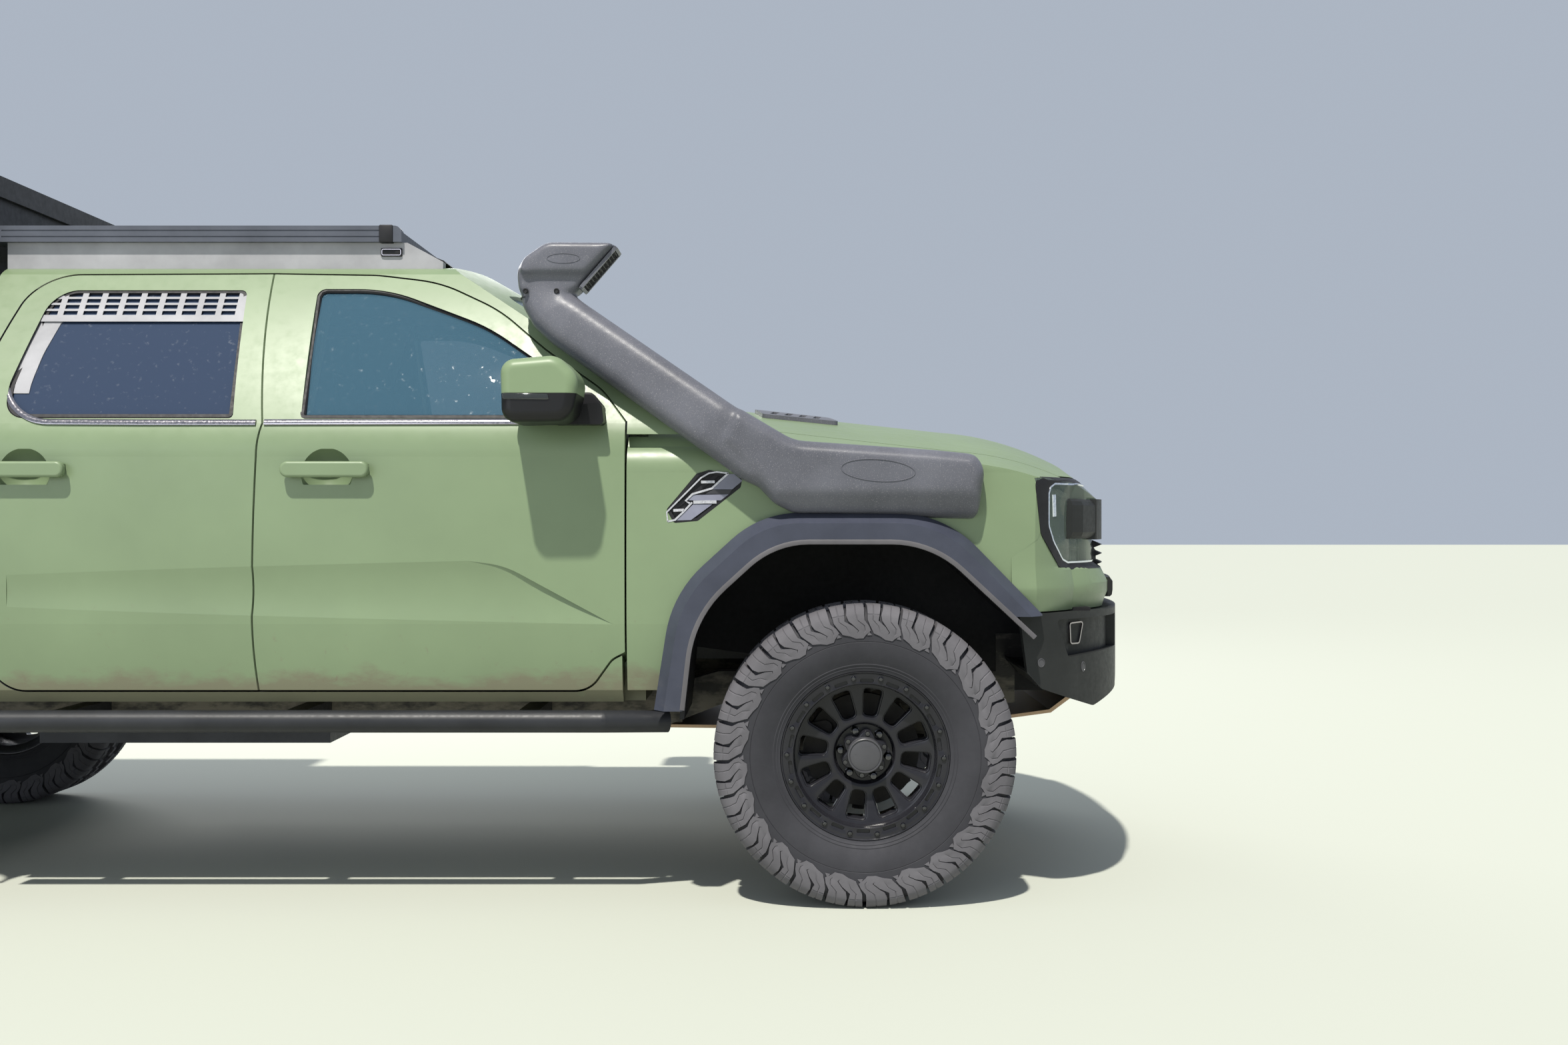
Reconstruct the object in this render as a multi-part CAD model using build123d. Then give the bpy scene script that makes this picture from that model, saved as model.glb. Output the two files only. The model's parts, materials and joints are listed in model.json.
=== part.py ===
from build123d import *
import os
from math import cos, hypot, pi, radians, sin, tan

# Lifted double-cab off-road pickup with canopy, roof rack and snorkel.
# Millimetres. +X forward, +Y to the left, +Z up.
# The body is drawn with X measured from the front axle and Z from the ground line of the loaded tyres.
# It is then moved so that the origin lies on the floor below the middle of the vehicle's length.

# Overall sizes
wheelbase = 3270.0
front_overhang = 870.0
rear_overhang = 1206.0
track = 1710.0
tyre_radius = 436.5
loaded_radius = 425.0
tyre_width = 315.0

front_axle_x = (wheelbase + rear_overhang - front_overhang) / 2
body_lift = tyre_radius - loaded_radius
hub_z = loaded_radius
rear_axle = -wheelbase

# Gaps
moving_gap = 6.0
seat_gap = 0.3

# Cab skin, half widths and heights
sill_z = 570.0
sill_top_z = 607.0
sill_half = 885.0
rocker_half = 915.0
swage_z = 801.0
side_half = 946.0
shoulder_z = 1286.0
belt_z = 1383.0
belt_half = 925.0
rail_z = 1857.0
rail_half = 640.0
roof_edge_half = 585.0
roof_edge_z = 1884.0
roof_z = 1912.0
side_bow = 5.0
shoulder_bow = 6.0
greenhouse_bow = 14.0
lean = (belt_half - rail_half) / (rail_z - belt_z)

# Cab walls
door_thickness = 110.0
frame_thickness = 65.0
roof_thickness = 46.0
floor_z = 640.0
cab_rear_x = -2690.0
back_wall = 50.0
firewall_x = -640.0
firewall_wall = 50.0
cowl_z = 1300.0

# Windscreen, a slice of a leaning cylinder
screen_base_x = -378.0
screen_base_z = 1440.0
screen_angle = 29.6
screen_radius = 3700.0
screen_wall = 50.0

# Bonnet, centre height at stations measured from the front axle
bonnet_rear_x = -700.0
bonnet_rear_z = 1504.0
bonnet_mid_x = 284.0
bonnet_mid_z = 1398.0
bonnet_front_x = 640.0
bonnet_front_z = 1300.0
bonnet_crown = 3500.0
bonnet_half = 800.0
bonnet_bottom_z = 1226.0
cowl_centre_x = -440.0
cowl_side_x = -640.0
cowl_side_half = 900.0
panel = 40.0

# Doors: hinge lines, shut lines
shut_slant = 25.0
slant_reference = 940.0
front_door_x = -694.0
shut_b_belt_x = -1752.0
shut_b_foot_x = -1770.0
shut_b_roof_x = -1805.0
rear_door_x = -2600.0

# Bed and canopy
bed_front_x = -2710.0
bed_rear_x = -4385.0
bed_wall = 60.0
bed_floor_z = 880.0
bed_floor = 40.0
bed_rail_z = 1383.0
tailgate_thickness = 60.0
canopy_front_x = -2726.0
canopy_top_z = 2190.0
canopy_top_half = 720.0
canopy_base_half = 925.0
canopy_wall = 30.0
canopy_slab = 60.0
canopy_overhang = 16.0

os.makedirs("parts", exist_ok=True)


def ring_of(points):
    """Closed outline from rows of across, up and, where a corner is rounded, its radius."""
    corners = [(row[0], row[1]) for row in points]
    radii = [row[2] if len(row) > 2 else 0 for row in points]
    if any(radii):
        return Face(FilletPolyline(*corners, radius=radii, close=True).wire())
    return Face(Wire(Polyline(*corners, close=True).edges()))


def bowed(points):
    """Closed anticlockwise outline from rows of across, up and how far the side that starts there bows out."""
    edges = []
    for here, there in zip(points, points[1:] + points[:1]):
        run, rise = there[0] - here[0], there[1] - here[1]
        length = hypot(run, rise)
        bow = here[2] if len(here) > 2 else 0
        middle = ((here[0] + there[0]) / 2 + bow * rise / length, (here[1] + there[1]) / 2 - bow * run / length)
        if bow:
            edges.append(ThreePointArc(here[:2], middle, there[:2]))
        else:
            edges.append(Line(here[:2], there[:2]))
    return Face(Wire(edges))


def from_side(face, y_from, y_to):
    """Outline in X and Z, carried from one Y to another."""
    placed = Pos(0, y_from, 0) * (Plane.XZ.location * face)
    return extrude(placed, amount=abs(y_to - y_from), dir=(0, 1 if y_to > y_from else -1, 0))


def from_front(face, x_from, x_to):
    """Outline in Y and Z, carried from one X to another."""
    placed = Pos(x_from, 0, 0) * (Plane.YZ.location * face)
    return extrude(placed, amount=abs(x_to - x_from), dir=(1 if x_to > x_from else -1, 0, 0))


def from_above(face, z_from, z_to):
    """Outline in X and Y, carried from one Z to another."""
    return extrude(Pos(0, 0, z_from) * face, amount=abs(z_to - z_from), dir=(0, 0, 1 if z_to > z_from else -1))


def block(x_from, x_to, y_from, y_to, z_from, z_to):
    """Box between two corners."""
    middle = ((x_from + x_to) / 2, (y_from + y_to) / 2, (z_from + z_to) / 2)
    return Pos(*middle) * Box(abs(x_to - x_from), abs(y_to - y_from), abs(z_to - z_from))


def rod(start, end, radius):
    """Round bar between two points."""
    start, end = Vector(*start), Vector(*end)
    axis = end - start
    return extrude(Plane(origin=start, z_dir=axis) * Circle(radius), amount=axis.length)


def across(shape):
    """The same shape on the other side of the vehicle."""
    return mirror(shape, about=Plane.XZ)


def mirrored_rows(rows):
    """Left half outline, bottom to top, completed on the right with the same bows."""
    left = list(rows)
    right = []
    for index in range(len(rows) - 1, -1, -1):
        bow = rows[index - 1][2] if index > 0 else 0
        right.append((-rows[index][0], rows[index][1], bow))
    return left + right


def save(node, shape, place=None):
    """Write one piece in the vehicle's frame."""
    place = place if place is not None else Pos(front_axle_x, 0, body_lift)
    export_step(place * shape, f"parts/{node}.step")


# Cab skin
def cab_section():
    rows = [
        (sill_half, sill_z, 0),
        (rocker_half, sill_top_z, 4),
        (side_half, swage_z, side_bow),
        (side_half, shoulder_z, shoulder_bow),
        (belt_half, belt_z, greenhouse_bow),
        (rail_half, rail_z, 4),
        (roof_edge_half, roof_edge_z, 0),
    ]
    rows = mirrored_rows(rows)
    rows[len(rows) // 2 - 1] = (roof_edge_half, roof_edge_z, roof_z - roof_edge_z)
    return bowed(rows)


def cab_void_section(side_gap=0.0, height_gap=0.0):
    """Hollow of the cab: door cards below the belt, thinner frames above it."""
    card = side_half - door_thickness - side_gap
    belt_in = belt_half - frame_thickness - side_gap
    rail_in = rail_half - frame_thickness - side_gap
    rows = [
        (card, floor_z),
        (card, belt_z - 30),
        (belt_in, belt_z),
        (rail_in, rail_z - 17),
        (rail_in - 60, roof_z - roof_thickness - 4 + height_gap),
    ]
    left = [(row[0], row[1]) for row in rows]
    right = [(-row[0], row[1]) for row in reversed(rows)]
    return bowed([(row[0], row[1], 0) for row in left + right])


def screen_cylinder(inset):
    """Leaning cylinder whose top line is the windscreen's centre line."""
    angle = radians(screen_angle)
    depth = screen_radius
    centre_x = screen_base_x - depth * sin(angle)
    centre_z = screen_base_z - depth * cos(angle)
    axis = Vector(-cos(angle), 0, sin(angle))
    start = Vector(centre_x, 0, centre_z) - axis * 3000
    plane = Plane(origin=start, z_dir=axis)
    return extrude(plane * Circle(screen_radius - inset), amount=9000)


def cab_outer(inset=0.0):
    section = cab_section()
    if inset:
        section = offset(section, amount=-inset, kind=Kind.INTERSECTION).face()
    profile = ring_of([
        (cab_rear_x + inset, sill_z + inset),
        (firewall_x - inset, sill_z + inset),
        (firewall_x - inset, cowl_z),
        (0, cowl_z),
        (0, 2100),
        (cab_rear_x + 66 + inset, 2100),
        (cab_rear_x + 50 + inset, roof_edge_z - 8, 60),
        (cab_rear_x + inset, belt_z),
    ])
    body = from_front(section, cab_rear_x - 10, 0) & from_side(profile, -1200, 1200)
    return body & screen_cylinder(inset)


def cowl_cut(gap):
    """All that lies ahead of the bonnet's curved rear edge, less a gap."""
    edge = [
        ThreePointArc(
            (cowl_side_x - gap, -cowl_side_half), (cowl_centre_x - gap, 0), (cowl_side_x - gap, cowl_side_half)
        ),
        Line((cowl_side_x - gap, cowl_side_half), (1200, 1300)),
        Line((1200, 1300), (1200, -1300)),
        Line((1200, -1300), (cowl_side_x - gap, -cowl_side_half)),
    ]
    return from_above(Face(Wire(edge)), cowl_z - 200, 2200)


def cab_void():
    profile = ring_of([
        (cab_rear_x + back_wall, 300),
        (firewall_x - firewall_wall, 300),
        (firewall_x - firewall_wall, cowl_z + 40),
        (cowl_side_x + 60, cowl_z + 40),
        (cowl_side_x + 60, 2100),
        (cab_rear_x + back_wall + 50, 2100),
        (cab_rear_x + back_wall, belt_z),
    ])
    hollow = from_front(cab_void_section(), cab_rear_x, 0) & from_side(profile, -1200, 1200)
    return hollow & screen_cylinder(screen_wall)


cab_skin = cab_outer()
cab_hollow = cab_void()
cab_wall = cab_skin - cab_hollow


# Doors
def on_lean(x, z):
    """Point of an outline above the belt, laid on the leaning side of the greenhouse."""
    return (x, (z - belt_z) * hypot(1, lean))


def door_prism(lower, upper, grow):
    """Right-hand door outline carried inwards, its shut faces slanted so that the door swings clear."""
    slant = tan(radians(shut_slant))
    direction = Vector(slant, 1, 0)
    outside = slant_reference + 20
    low_depth = (outside - side_half + door_thickness + 1) * direction.length
    high_depth = (outside - belt_half + frame_thickness + 12) * direction.length
    low_face = offset(ring_of(lower), amount=grow, kind=Kind.INTERSECTION).face() if grow else ring_of(lower)
    low = extrude(
        Pos(-20 * slant, -outside, 0) * (Plane.XZ.location * low_face), amount=low_depth, dir=direction
    )
    tilted = Plane(origin=(-20 * slant, -outside, belt_z), x_dir=(1, 0, 0), z_dir=(0, -1, lean))
    laid = ring_of([(*on_lean(row[0], row[1]), *row[2:]) for row in upper])
    high_face = offset(laid, amount=grow, kind=Kind.INTERSECTION).face() if grow else laid
    high = extrude(tilted.location * high_face, amount=high_depth, dir=direction)
    return low + high


front_lower = [
    (front_door_x + 80, belt_z),
    (front_door_x + 80, 760),
    (-736, 700, 60),
    (-812, sill_top_z, 90),
    (shut_b_foot_x, sill_top_z),
    (shut_b_belt_x, belt_z),
]
front_upper = [
    (front_door_x - 5, belt_z),
    (shut_b_belt_x, belt_z),
    (shut_b_roof_x, rail_z),
    (-1486, 1851, 300),
    (-1291, 1826, 400),
    (-1094, 1733, 500),
    (-943, 1606, 700),
    (-769, 1482, 200),
]
rear_lower = [
    (shut_b_belt_x - moving_gap, belt_z),
    (shut_b_foot_x - moving_gap, sill_top_z),
    (-2500, sill_top_z, 90),
    (rear_door_x, 760, 90),
    (rear_door_x, belt_z),
]
rear_upper = [
    (shut_b_belt_x - moving_gap, belt_z),
    (rear_door_x, belt_z),
    (rear_door_x + 10, 1560, 300),
    (rear_door_x + 80, rail_z - 4, 150),
    (shut_b_roof_x - moving_gap, rail_z),
]
front_window = [
    (-1638, 1398, 12),
    (-1655, 1807, 25),
    (-1440, 1807, 500),
    (-1120, 1682, 600),
    (-960, 1572, 300),
    (-792, 1440, 20),
    (-800, 1398, 12),
]
rear_window = [
    (-1836, 1398, 12),
    (-1870, 1803, 20),
    (-2455, 1803, 90),
    (-2510, 1500, 120),
    (-2500, 1398, 60),
]


def front_door_prism(grow):
    return door_prism(front_lower, front_upper, grow) & block(-3000, front_door_x + grow, -1200, 0, 0, 2100)


def rear_door_prism(grow):
    return door_prism(rear_lower, rear_upper, grow)


def window_prism(rows, shrink=0.0):
    face = ring_of(rows)
    if shrink:
        face = offset(face, amount=-shrink, kind=Kind.INTERSECTION).face()
    return from_side(face, -1200, -400)


glass_set_back = 12.0
glass_thickness = 6.0
glass_layer = cab_outer(glass_set_back) - cab_outer(glass_set_back + glass_thickness)

front_door_right = (cab_wall & front_door_prism(0)) - window_prism(front_window)
rear_door_right = (cab_wall & rear_door_prism(0)) - window_prism(rear_window)
front_glass_right = glass_layer & window_prism(front_window, 0.2)
rear_glass_right = glass_layer & window_prism(rear_window, 0.2)

# Scoop in the door skins: sharp along its upper edge, deepest near the front door's front, fading rearwards
scoop_top_z = 1004.0
scoop_low_z = 796.0
scoop_depth = 9.0
scoop_front_x = -700.0
scoop_rear_x = -2480.0
scoop_region = [
    # side view; the upper edge falls to the scoop's low edge at its front
    (scoop_rear_x - 200, scoop_low_z), (scoop_front_x - 20, scoop_low_z), (-1040, scoop_top_z - 34, 260),
    (-1300, scoop_top_z, 400), (scoop_rear_x - 200, scoop_top_z),
]


def scoop():
    """Hollow with one straight run of sections, pushed outwards on its way back until it leaves the skin."""
    edge = side_half + side_bow + 3
    profile = Face(Wire([
        ThreePointArc(
            (-edge, scoop_top_z + 2), (-side_half - side_bow + scoop_depth, scoop_top_z - 55),
            (-side_half - 1, scoop_low_z - 2)),
        Line((-side_half - 1, scoop_low_z - 2), (-edge - 40, scoop_low_z - 2)),
        Line((-edge - 40, scoop_low_z - 2), (-edge - 40, scoop_top_z + 2)),
        Line((-edge - 40, scoop_top_z + 2), (-edge, scoop_top_z + 2)),
    ]))
    placed = Pos(scoop_front_x, 0, 0) * (Plane.YZ.location * profile)
    run = Vector(scoop_rear_x - scoop_front_x, -scoop_depth, 0)
    hollow = extrude(placed, amount=run.length, dir=run)
    return hollow & from_side(ring_of(scoop_region), -1100, -800)


door_scoop = scoop()
front_door_right = front_door_right - door_scoop
rear_door_right = rear_door_right - door_scoop

# Vent panel that fills the upper part of each rear door window, seated in the window's edge
vent_low_z = 1700.0
vent_set_back = 4.0
vent_thickness = 3.0
vent_columns = 10
vent_rows = 4
vent_rear_x = -2480.0
vent_front_x = -1884.0
vent_slot_height = 13.0
vent_slot_width = 42.0
vent_layer = cab_outer(vent_set_back) - cab_outer(vent_set_back + vent_thickness)
quarter_vent_right = vent_layer & window_prism(rear_window, seat_gap) & block(
    -2700, -1700, -1200, 0, vent_low_z, 1900)
slots = []
for row in range(vent_rows):
    for column in range(vent_columns):
        x = vent_rear_x + (column + 0.5) * (vent_front_x - vent_rear_x) / vent_columns
        z = vent_low_z + 28 + row * 20
        if x - vent_slot_width / 2 > -2455 or z < 1775:
            slots.append(Pos(x, -700, z) * Box(vent_slot_width, 600, vent_slot_height))
quarter_vent_right = quarter_vent_right - slots

handle_z = 1248.0
handle_length = 255.0
handle_height = 46.0
handle_rows = [
    # door, handle centre from the front axle
    ("front", -1554.0),
    ("rear", -2430.0),
]


def handle(x_middle):
    """Pull handle that stands off the skin on two feet."""
    skin = side_half + 6
    grip = block(x_middle - handle_length / 2, x_middle + handle_length / 2, -skin - 34, -skin - 14,
                 handle_z - handle_height / 2, handle_z + handle_height / 2)
    grip = fillet(grip.edges().filter_by(Axis.Y), handle_height / 2 - 1)
    grip = fillet(grip.faces().sort_by(Axis.Y)[0].edges(), 8)
    feet = [
        block(x_middle + side * handle_length * 0.4 - 18, x_middle + side * handle_length * 0.4 + 18,
              -skin - 16, -side_half + 20, handle_z - 16, handle_z + 16)
        for side in (-1, 1)
    ]
    return grip + feet[0] + feet[1]


def handle_cup(x_middle):
    """Finger recess behind the grip."""
    cup = Pos(x_middle, -side_half - 30, handle_z - 12) * Sphere(80)
    return cup & block(x_middle - 90, x_middle + 90, -side_half - 60, -side_half + 60, handle_z - 44, handle_z + 60)


front_door_right = (front_door_right - handle_cup(handle_rows[0][1])) + handle(handle_rows[0][1])
rear_door_right = (rear_door_right - handle_cup(handle_rows[1][1])) + handle(handle_rows[1][1])
# The lowest inner front corner is cut back, so that it swings past the floor's edge
rear_door_right = rear_door_right - block(-1800, -1700, -850, -800, 590, floor_z + 6)

# Door mirror: a foot on the door's front corner and a housing outboard of it
mirror_rear_x = -1015.0
mirror_front_x = -800.0
mirror_low_z = 1372.0
mirror_high_z = 1560.0
mirror_in = 975.0
mirror_out = 1170.0
housing = from_side(ring_of([
    (mirror_rear_x, mirror_low_z, 40),
    (mirror_front_x - 20, mirror_low_z + 4, 50),
    (mirror_front_x, mirror_high_z - 60, 60),
    (mirror_front_x - 60, mirror_high_z, 60),
    (mirror_rear_x - 4, mirror_high_z - 14, 40),
]), -mirror_in, -mirror_out)
housing = fillet(housing.faces().sort_by(Axis.Y)[0].edges(), 30)
mirror_glass_recess = block(mirror_rear_x - 20, mirror_rear_x + 10, -mirror_out + 22, -mirror_in - 12,
                            mirror_low_z + 22, mirror_high_z - 34)
mirror_arm = from_side(ring_of([
    (-900, 1376, 12), (-748, 1376, 12), (-756, 1440, 16), (-890, 1424, 12),
]), -belt_half + 8, -mirror_in - 20)
mirror_right = (housing - mirror_glass_recess) + (mirror_arm - cab_skin)

# Cab shell: what is left of the walls, with an inner post that both doors close on.
# A groove in the post lets the rear door's front inner corner swing past.
post_front_x = -1640.0
post_rear_x = -1850.0
post_depth = 50.0
groove_front_x = -1698.0
groove_rear_x = -1806.0
groove_depth = 24.0
post_outer = from_front(cab_void_section(seat_gap + 1.5, 5), post_rear_x, post_front_x)
post_inner = from_front(cab_void_section(post_depth, -40), post_rear_x - 5, post_front_x + 5)
post_groove = from_front(cab_void_section(-10, 0), groove_rear_x, groove_front_x)
post_groove = post_groove - from_front(cab_void_section(groove_depth, 20), groove_rear_x - 5, groove_front_x + 5)
post_groove = post_groove & block(-1900, -1600, -1200, 1200, floor_z + 0.5, rail_z - 17)
door_posts = (post_outer - post_inner) - block(-1900, -1600, -500, 500, 500, 2100) - post_groove

screen_angle_up = radians(screen_angle)
screen_plane = Plane(
    origin=(screen_base_x, 0, screen_base_z), x_dir=(0, 1, 0), z_dir=(sin(screen_angle_up), 0, cos(screen_angle_up))
)
screen_length = (rail_z - screen_base_z) / sin(screen_angle_up)


def screen_prism(shrink=0.0):
    face = ring_of([
        (-742, 104, 40), (742, 104, 40), (568, screen_length - 40, 60), (-568, screen_length - 40, 60),
    ])
    if shrink:
        face = offset(face, amount=-shrink, kind=Kind.INTERSECTION).face()
    lowest = Pos(*(screen_plane.z_dir * -(screen_wall + 160)))
    return extrude(lowest * (screen_plane.location * face), amount=screen_wall + 240, dir=screen_plane.z_dir)


rear_screen_rows = [
    (-590, 1430, 40), (590, 1430, 40), (540, 1800, 50), (-540, 1800, 50),
]


def rear_screen_prism(shrink=0.0):
    face = ring_of(rear_screen_rows)
    if shrink:
        face = offset(face, amount=-shrink, kind=Kind.INTERSECTION).face()
    return from_front(face, cab_rear_x - 60, cab_rear_x + 180)


cab_shell = cab_wall - cowl_cut(8)
for prism in (front_door_prism(moving_gap), rear_door_prism(moving_gap)):
    cab_shell = cab_shell - prism - across(prism)
for side in (-1, 1):
    cab_shell = cab_shell - block(-702, -200, side * 850, side * 1100, 400, belt_z - 32)
cab_shell = cab_shell - screen_prism() - rear_screen_prism()
cab_shell = cab_shell + door_posts

windscreen = ((screen_cylinder(10) - screen_cylinder(16)) & screen_prism(0.2)) - cowl_cut(8.2)
rear_screen = glass_layer & rear_screen_prism(0.2)
rear_screen = rear_screen & block(cab_rear_x - 20, cab_rear_x + 120, -700, 700, 1300, 1900)


# Front end
nose_x = 850.0
nose_radius_sag = 62.0


def front_section(inset, low_z):
    """Fender sides and shoulders, open to above where the bonnet's crown closes them."""
    rows = [
        (rocker_half - inset, sill_top_z, 4),
        (side_half - inset, swage_z, side_bow),
        (side_half - inset, 1240, 10),
        (side_half - 34 - inset, 1316, 10),
        (side_half - 110 - inset, 1372, 0),
        (560 - inset, 1560, 0),
    ]
    if low_z < sill_top_z:
        rows = [(rocker_half - inset, low_z, 0)] + rows
    return bowed(mirrored_rows(rows))


def plan_outline(inset, rear_x):
    """Nose seen from above: flat sides, round corners and a bowed front."""
    rows = [
        (nose_x - 95 - inset, -560, nose_radius_sag * 0.9),
        (nose_x - 95 - inset, 560, 22),
        (nose_x - 230 - inset, 806 - inset, 22),
        (430, side_half + 40 - inset, 0),
        (rear_x, side_half + 40 - inset, 0),
        (rear_x, -side_half - 40 + inset, 0),
        (430, -side_half - 40 + inset, 22),
        (nose_x - 230 - inset, -806 + inset, 22),
    ]
    return bowed(rows)


def bonnet_dome(inset):
    """Spindle whose top is the bonnet: a falling line, then the curved nose, turned about a low axis."""
    axis_z = bonnet_mid_z - bonnet_crown
    edges = [
        Line((bonnet_rear_x - 200, axis_z), (bonnet_rear_x - 200, bonnet_rear_z + 22 - inset)),
        Line((bonnet_rear_x - 200, bonnet_rear_z + 22 - inset), (bonnet_mid_x, bonnet_mid_z - inset)),
        ThreePointArc(
            (bonnet_mid_x, bonnet_mid_z - inset),
            (500, 1358 - inset),
            (bonnet_front_x - inset * 0.5, bonnet_front_z - inset * 0.9),
        ),
        Line((bonnet_front_x - inset * 0.5, bonnet_front_z - inset * 0.9), (762 - inset, 1210 - inset)),
        Line((762 - inset, 1210 - inset), (900 - inset, 1010)),
        Line((900 - inset, 1010), (900 - inset, axis_z)),
        Line((900 - inset, axis_z), (bonnet_rear_x - 200, axis_z)),
    ]
    face = Plane.XZ.location * Face(Wire(edges))
    return revolve(face, axis=Axis((0, 0, axis_z), (1, 0, 0)), revolution_arc=360)


def front_body(inset, rear_x, low_z):
    body = from_front(front_section(inset, low_z), rear_x, 1000)
    body = body & from_above(plan_outline(inset, rear_x), low_z - 1, 1700)
    return body & bonnet_dome(inset)


front_rear_x = front_door_x + moving_gap
front_skin = front_body(0, front_rear_x, sill_top_z)
front_wall = front_skin - front_body(panel, front_rear_x - 30, 300)

arch_outer = [
    # forward, up, corner radius: line of the flare against the body
    (-607, 556), (-555, 890, 340), (-300, 1123, 290), (225, 1123, 330), (510, 831),
]
arch_inner = [
    (-528, 500), (-497, 830, 330), (-262, 1044, 260), (192, 1044, 300), (486, 770),
]


def arch_face(rows, low_z):
    """Arch outline closed well below."""
    closed = list(rows)
    if rows[-1][1] > low_z:
        closed.append((rows[-1][0] + 12, low_z))
    if rows[0][1] > low_z:
        closed.append((rows[0][0], low_z))
    return ring_of(closed)


well = arch_face([(row[0] * 1.02, row[1] + 18, *row[2:]) for row in arch_inner], 300)

lamp_rows = [(491, 1224), (571, 962), (1000, 952), (1000, 1224)]
lamp_inner_half = 556.0
bumper_rows = [(424, 836), (1000, 836), (1000, 1226), (489, 1226), (516, 1080), (500, 1046), (424, 992)]


def lamp_zone(grow):
    face = offset(ring_of(lamp_rows), amount=grow, kind=Kind.INTERSECTION).face() if grow else ring_of(lamp_rows)
    return from_side(face, lamp_inner_half - grow, 1100)


bonnet_plan = Face(Wire([
    ThreePointArc((cowl_side_x, -cowl_side_half), (cowl_centre_x, 0), (cowl_side_x, cowl_side_half)),
    Line((cowl_side_x, cowl_side_half), (1000, cowl_side_half)),
    Line((1000, cowl_side_half), (1000, -cowl_side_half)),
    Line((1000, -cowl_side_half), (cowl_side_x, -cowl_side_half)),
]))
bonnet_zone = from_above(bonnet_plan, bonnet_bottom_z + moving_gap, 1800)
bonnet = front_wall & bonnet_zone & block(-1000, 1000, -bonnet_half, bonnet_half, 1000, 1800)

# Raised vents on the bonnet's shoulders
bonnet_vent_height = 13.0
bonnet_vent_rows = [
    (-330, 330, 14), (-300, 520, 14), (-60, 500, 14), (-90, 350, 14),
]
bonnet_vent_zone = from_above(ring_of(bonnet_vent_rows), 1200, 1800)
bonnet_vent = (front_body(-bonnet_vent_height, -600, 1200) - front_body(-seat_gap, -700, 1100)) & bonnet_vent_zone
vent_slot_rows = [-262, -217, -172, -127]
for x in vent_slot_rows:
    bonnet_vent = bonnet_vent - Pos(x, 430, 1450) * (Rot(0, 0, 6) * Box(20, 110, 300))

nose_zone = from_side(ring_of(bumper_rows), -1100, 1100)
grille_half = 540.0
grille_low_z = 880.0
grille_opening = block(300, 1000, -grille_half, grille_half, grille_low_z, bonnet_bottom_z)

fender_left = front_wall & block(-1000, 1000, bonnet_half + moving_gap, 1100, 300, 1800)
fender_left = fender_left - from_side(ring_of(bumper_rows), 0, 1100) - lamp_zone(0)
fender_left = fender_left - from_side(well, 500, 1100)
fender_left = fender_left - block(424, 1000, 0, 1100, 300, 840)
ledge_under = front_body(panel + 12, front_rear_x - 30, 300)
ledge_root = (front_body(panel - 1, front_rear_x, 900) - ledge_under) & block(
    -560, 440, bonnet_half + moving_gap, side_half - panel - 10, 1100, 1800)
ledge_lip = (front_body(panel + seat_gap, front_rear_x, 900) - ledge_under) & block(
    -560, 440, bonnet_half - 30, bonnet_half + moving_gap + 1, 1100, 1800)
fender_left = fender_left - block(-720, -596, 0, 853, 300, 1600) - block(-720, -630, 0, 1100, belt_z - 38, 1600)
fender_left = fender_left - block(-640, -596, 0, 868, belt_z - 45, 1600)
fender_left = fender_left + ledge_root + ledge_lip
fender_vent_depth = 14.0
fender_vent_rows = [
    (-573, 1132, 8), (-551, 1093, 10), (-482, 1099, 14), (-358, 1196, 12), (-354, 1222, 8), (-449, 1247, 14),
    (-486, 1236, 12),
]
vent_recess = from_side(ring_of(fender_vent_rows), side_half - fender_vent_depth, side_half + 30)
fender_left = fender_left - vent_recess
fender_foot = block(front_rear_x + 2, front_rear_x + 34, 850, side_half - 20, 660, 1180)
fender_left = fender_left + (fender_foot & front_skin)

vent_face = offset(ring_of(fender_vent_rows), amount=-seat_gap, kind=Kind.INTERSECTION).face()
fender_vent = from_side(vent_face, side_half - fender_vent_depth + seat_gap, side_half + 2)
vent_mouth = offset(vent_face, amount=-9, kind=Kind.INTERSECTION).face()
vent_mouth = from_side(vent_mouth, side_half - 6, side_half + 30)
slat_direction = 38.0
vent_slats = []
for index in range(-2, 3):
    slat = Pos(-462, side_half - 8, 1170) * Rot(0, -slat_direction, 0) * (Pos(0, 0, index * 27) * Box(300, 12, 10))
    vent_slats.append(slat)
vent_mouth = vent_mouth - vent_slats
fender_vent = fender_vent - vent_mouth

upper_bumper = (front_wall & nose_zone) - lamp_zone(0) - across(lamp_zone(0)) - grille_opening
upper_bumper = upper_bumper & block(0, 1000, -1100, 1100, 836, bonnet_bottom_z)
upper_bumper = upper_bumper - from_side(well, -1100, 1100)

lamp_left = front_wall & lamp_zone(-seat_gap) & block(0, 1000, 0, 1100, 900, 1224)

# Grille: a frame, honeycomb-like cross bars and the centre bar whose boxed ends stand in the lamps' mouths
grille_face = front_body(14, 0, 700) - front_body(34, -30, 600)
grille_field = grille_face & block(
    300, 1000, -grille_half + seat_gap, grille_half - seat_gap, grille_low_z + seat_gap, bonnet_bottom_z - seat_gap
)
grille_rows = 6
grille_columns = 12
grille_bar = 9.0
hole_height = (bonnet_bottom_z - grille_low_z - 30) / grille_rows - grille_bar
hole_width = (2 * grille_half - 30) / grille_columns - grille_bar
holes = []
for row in range(grille_rows):
    for column in range(grille_columns):
        y = -grille_half + 15 + (column + 0.5) * (hole_width + grille_bar)
        z = grille_low_z + 15 + (row + 0.5) * (hole_height + grille_bar)
        if abs(z - 1100) > 50:
            holes.append(Pos(650, y, z) * Box(900, hole_width, hole_height))
grille = grille_field - holes
bar_low_z = 1042.0
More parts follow.
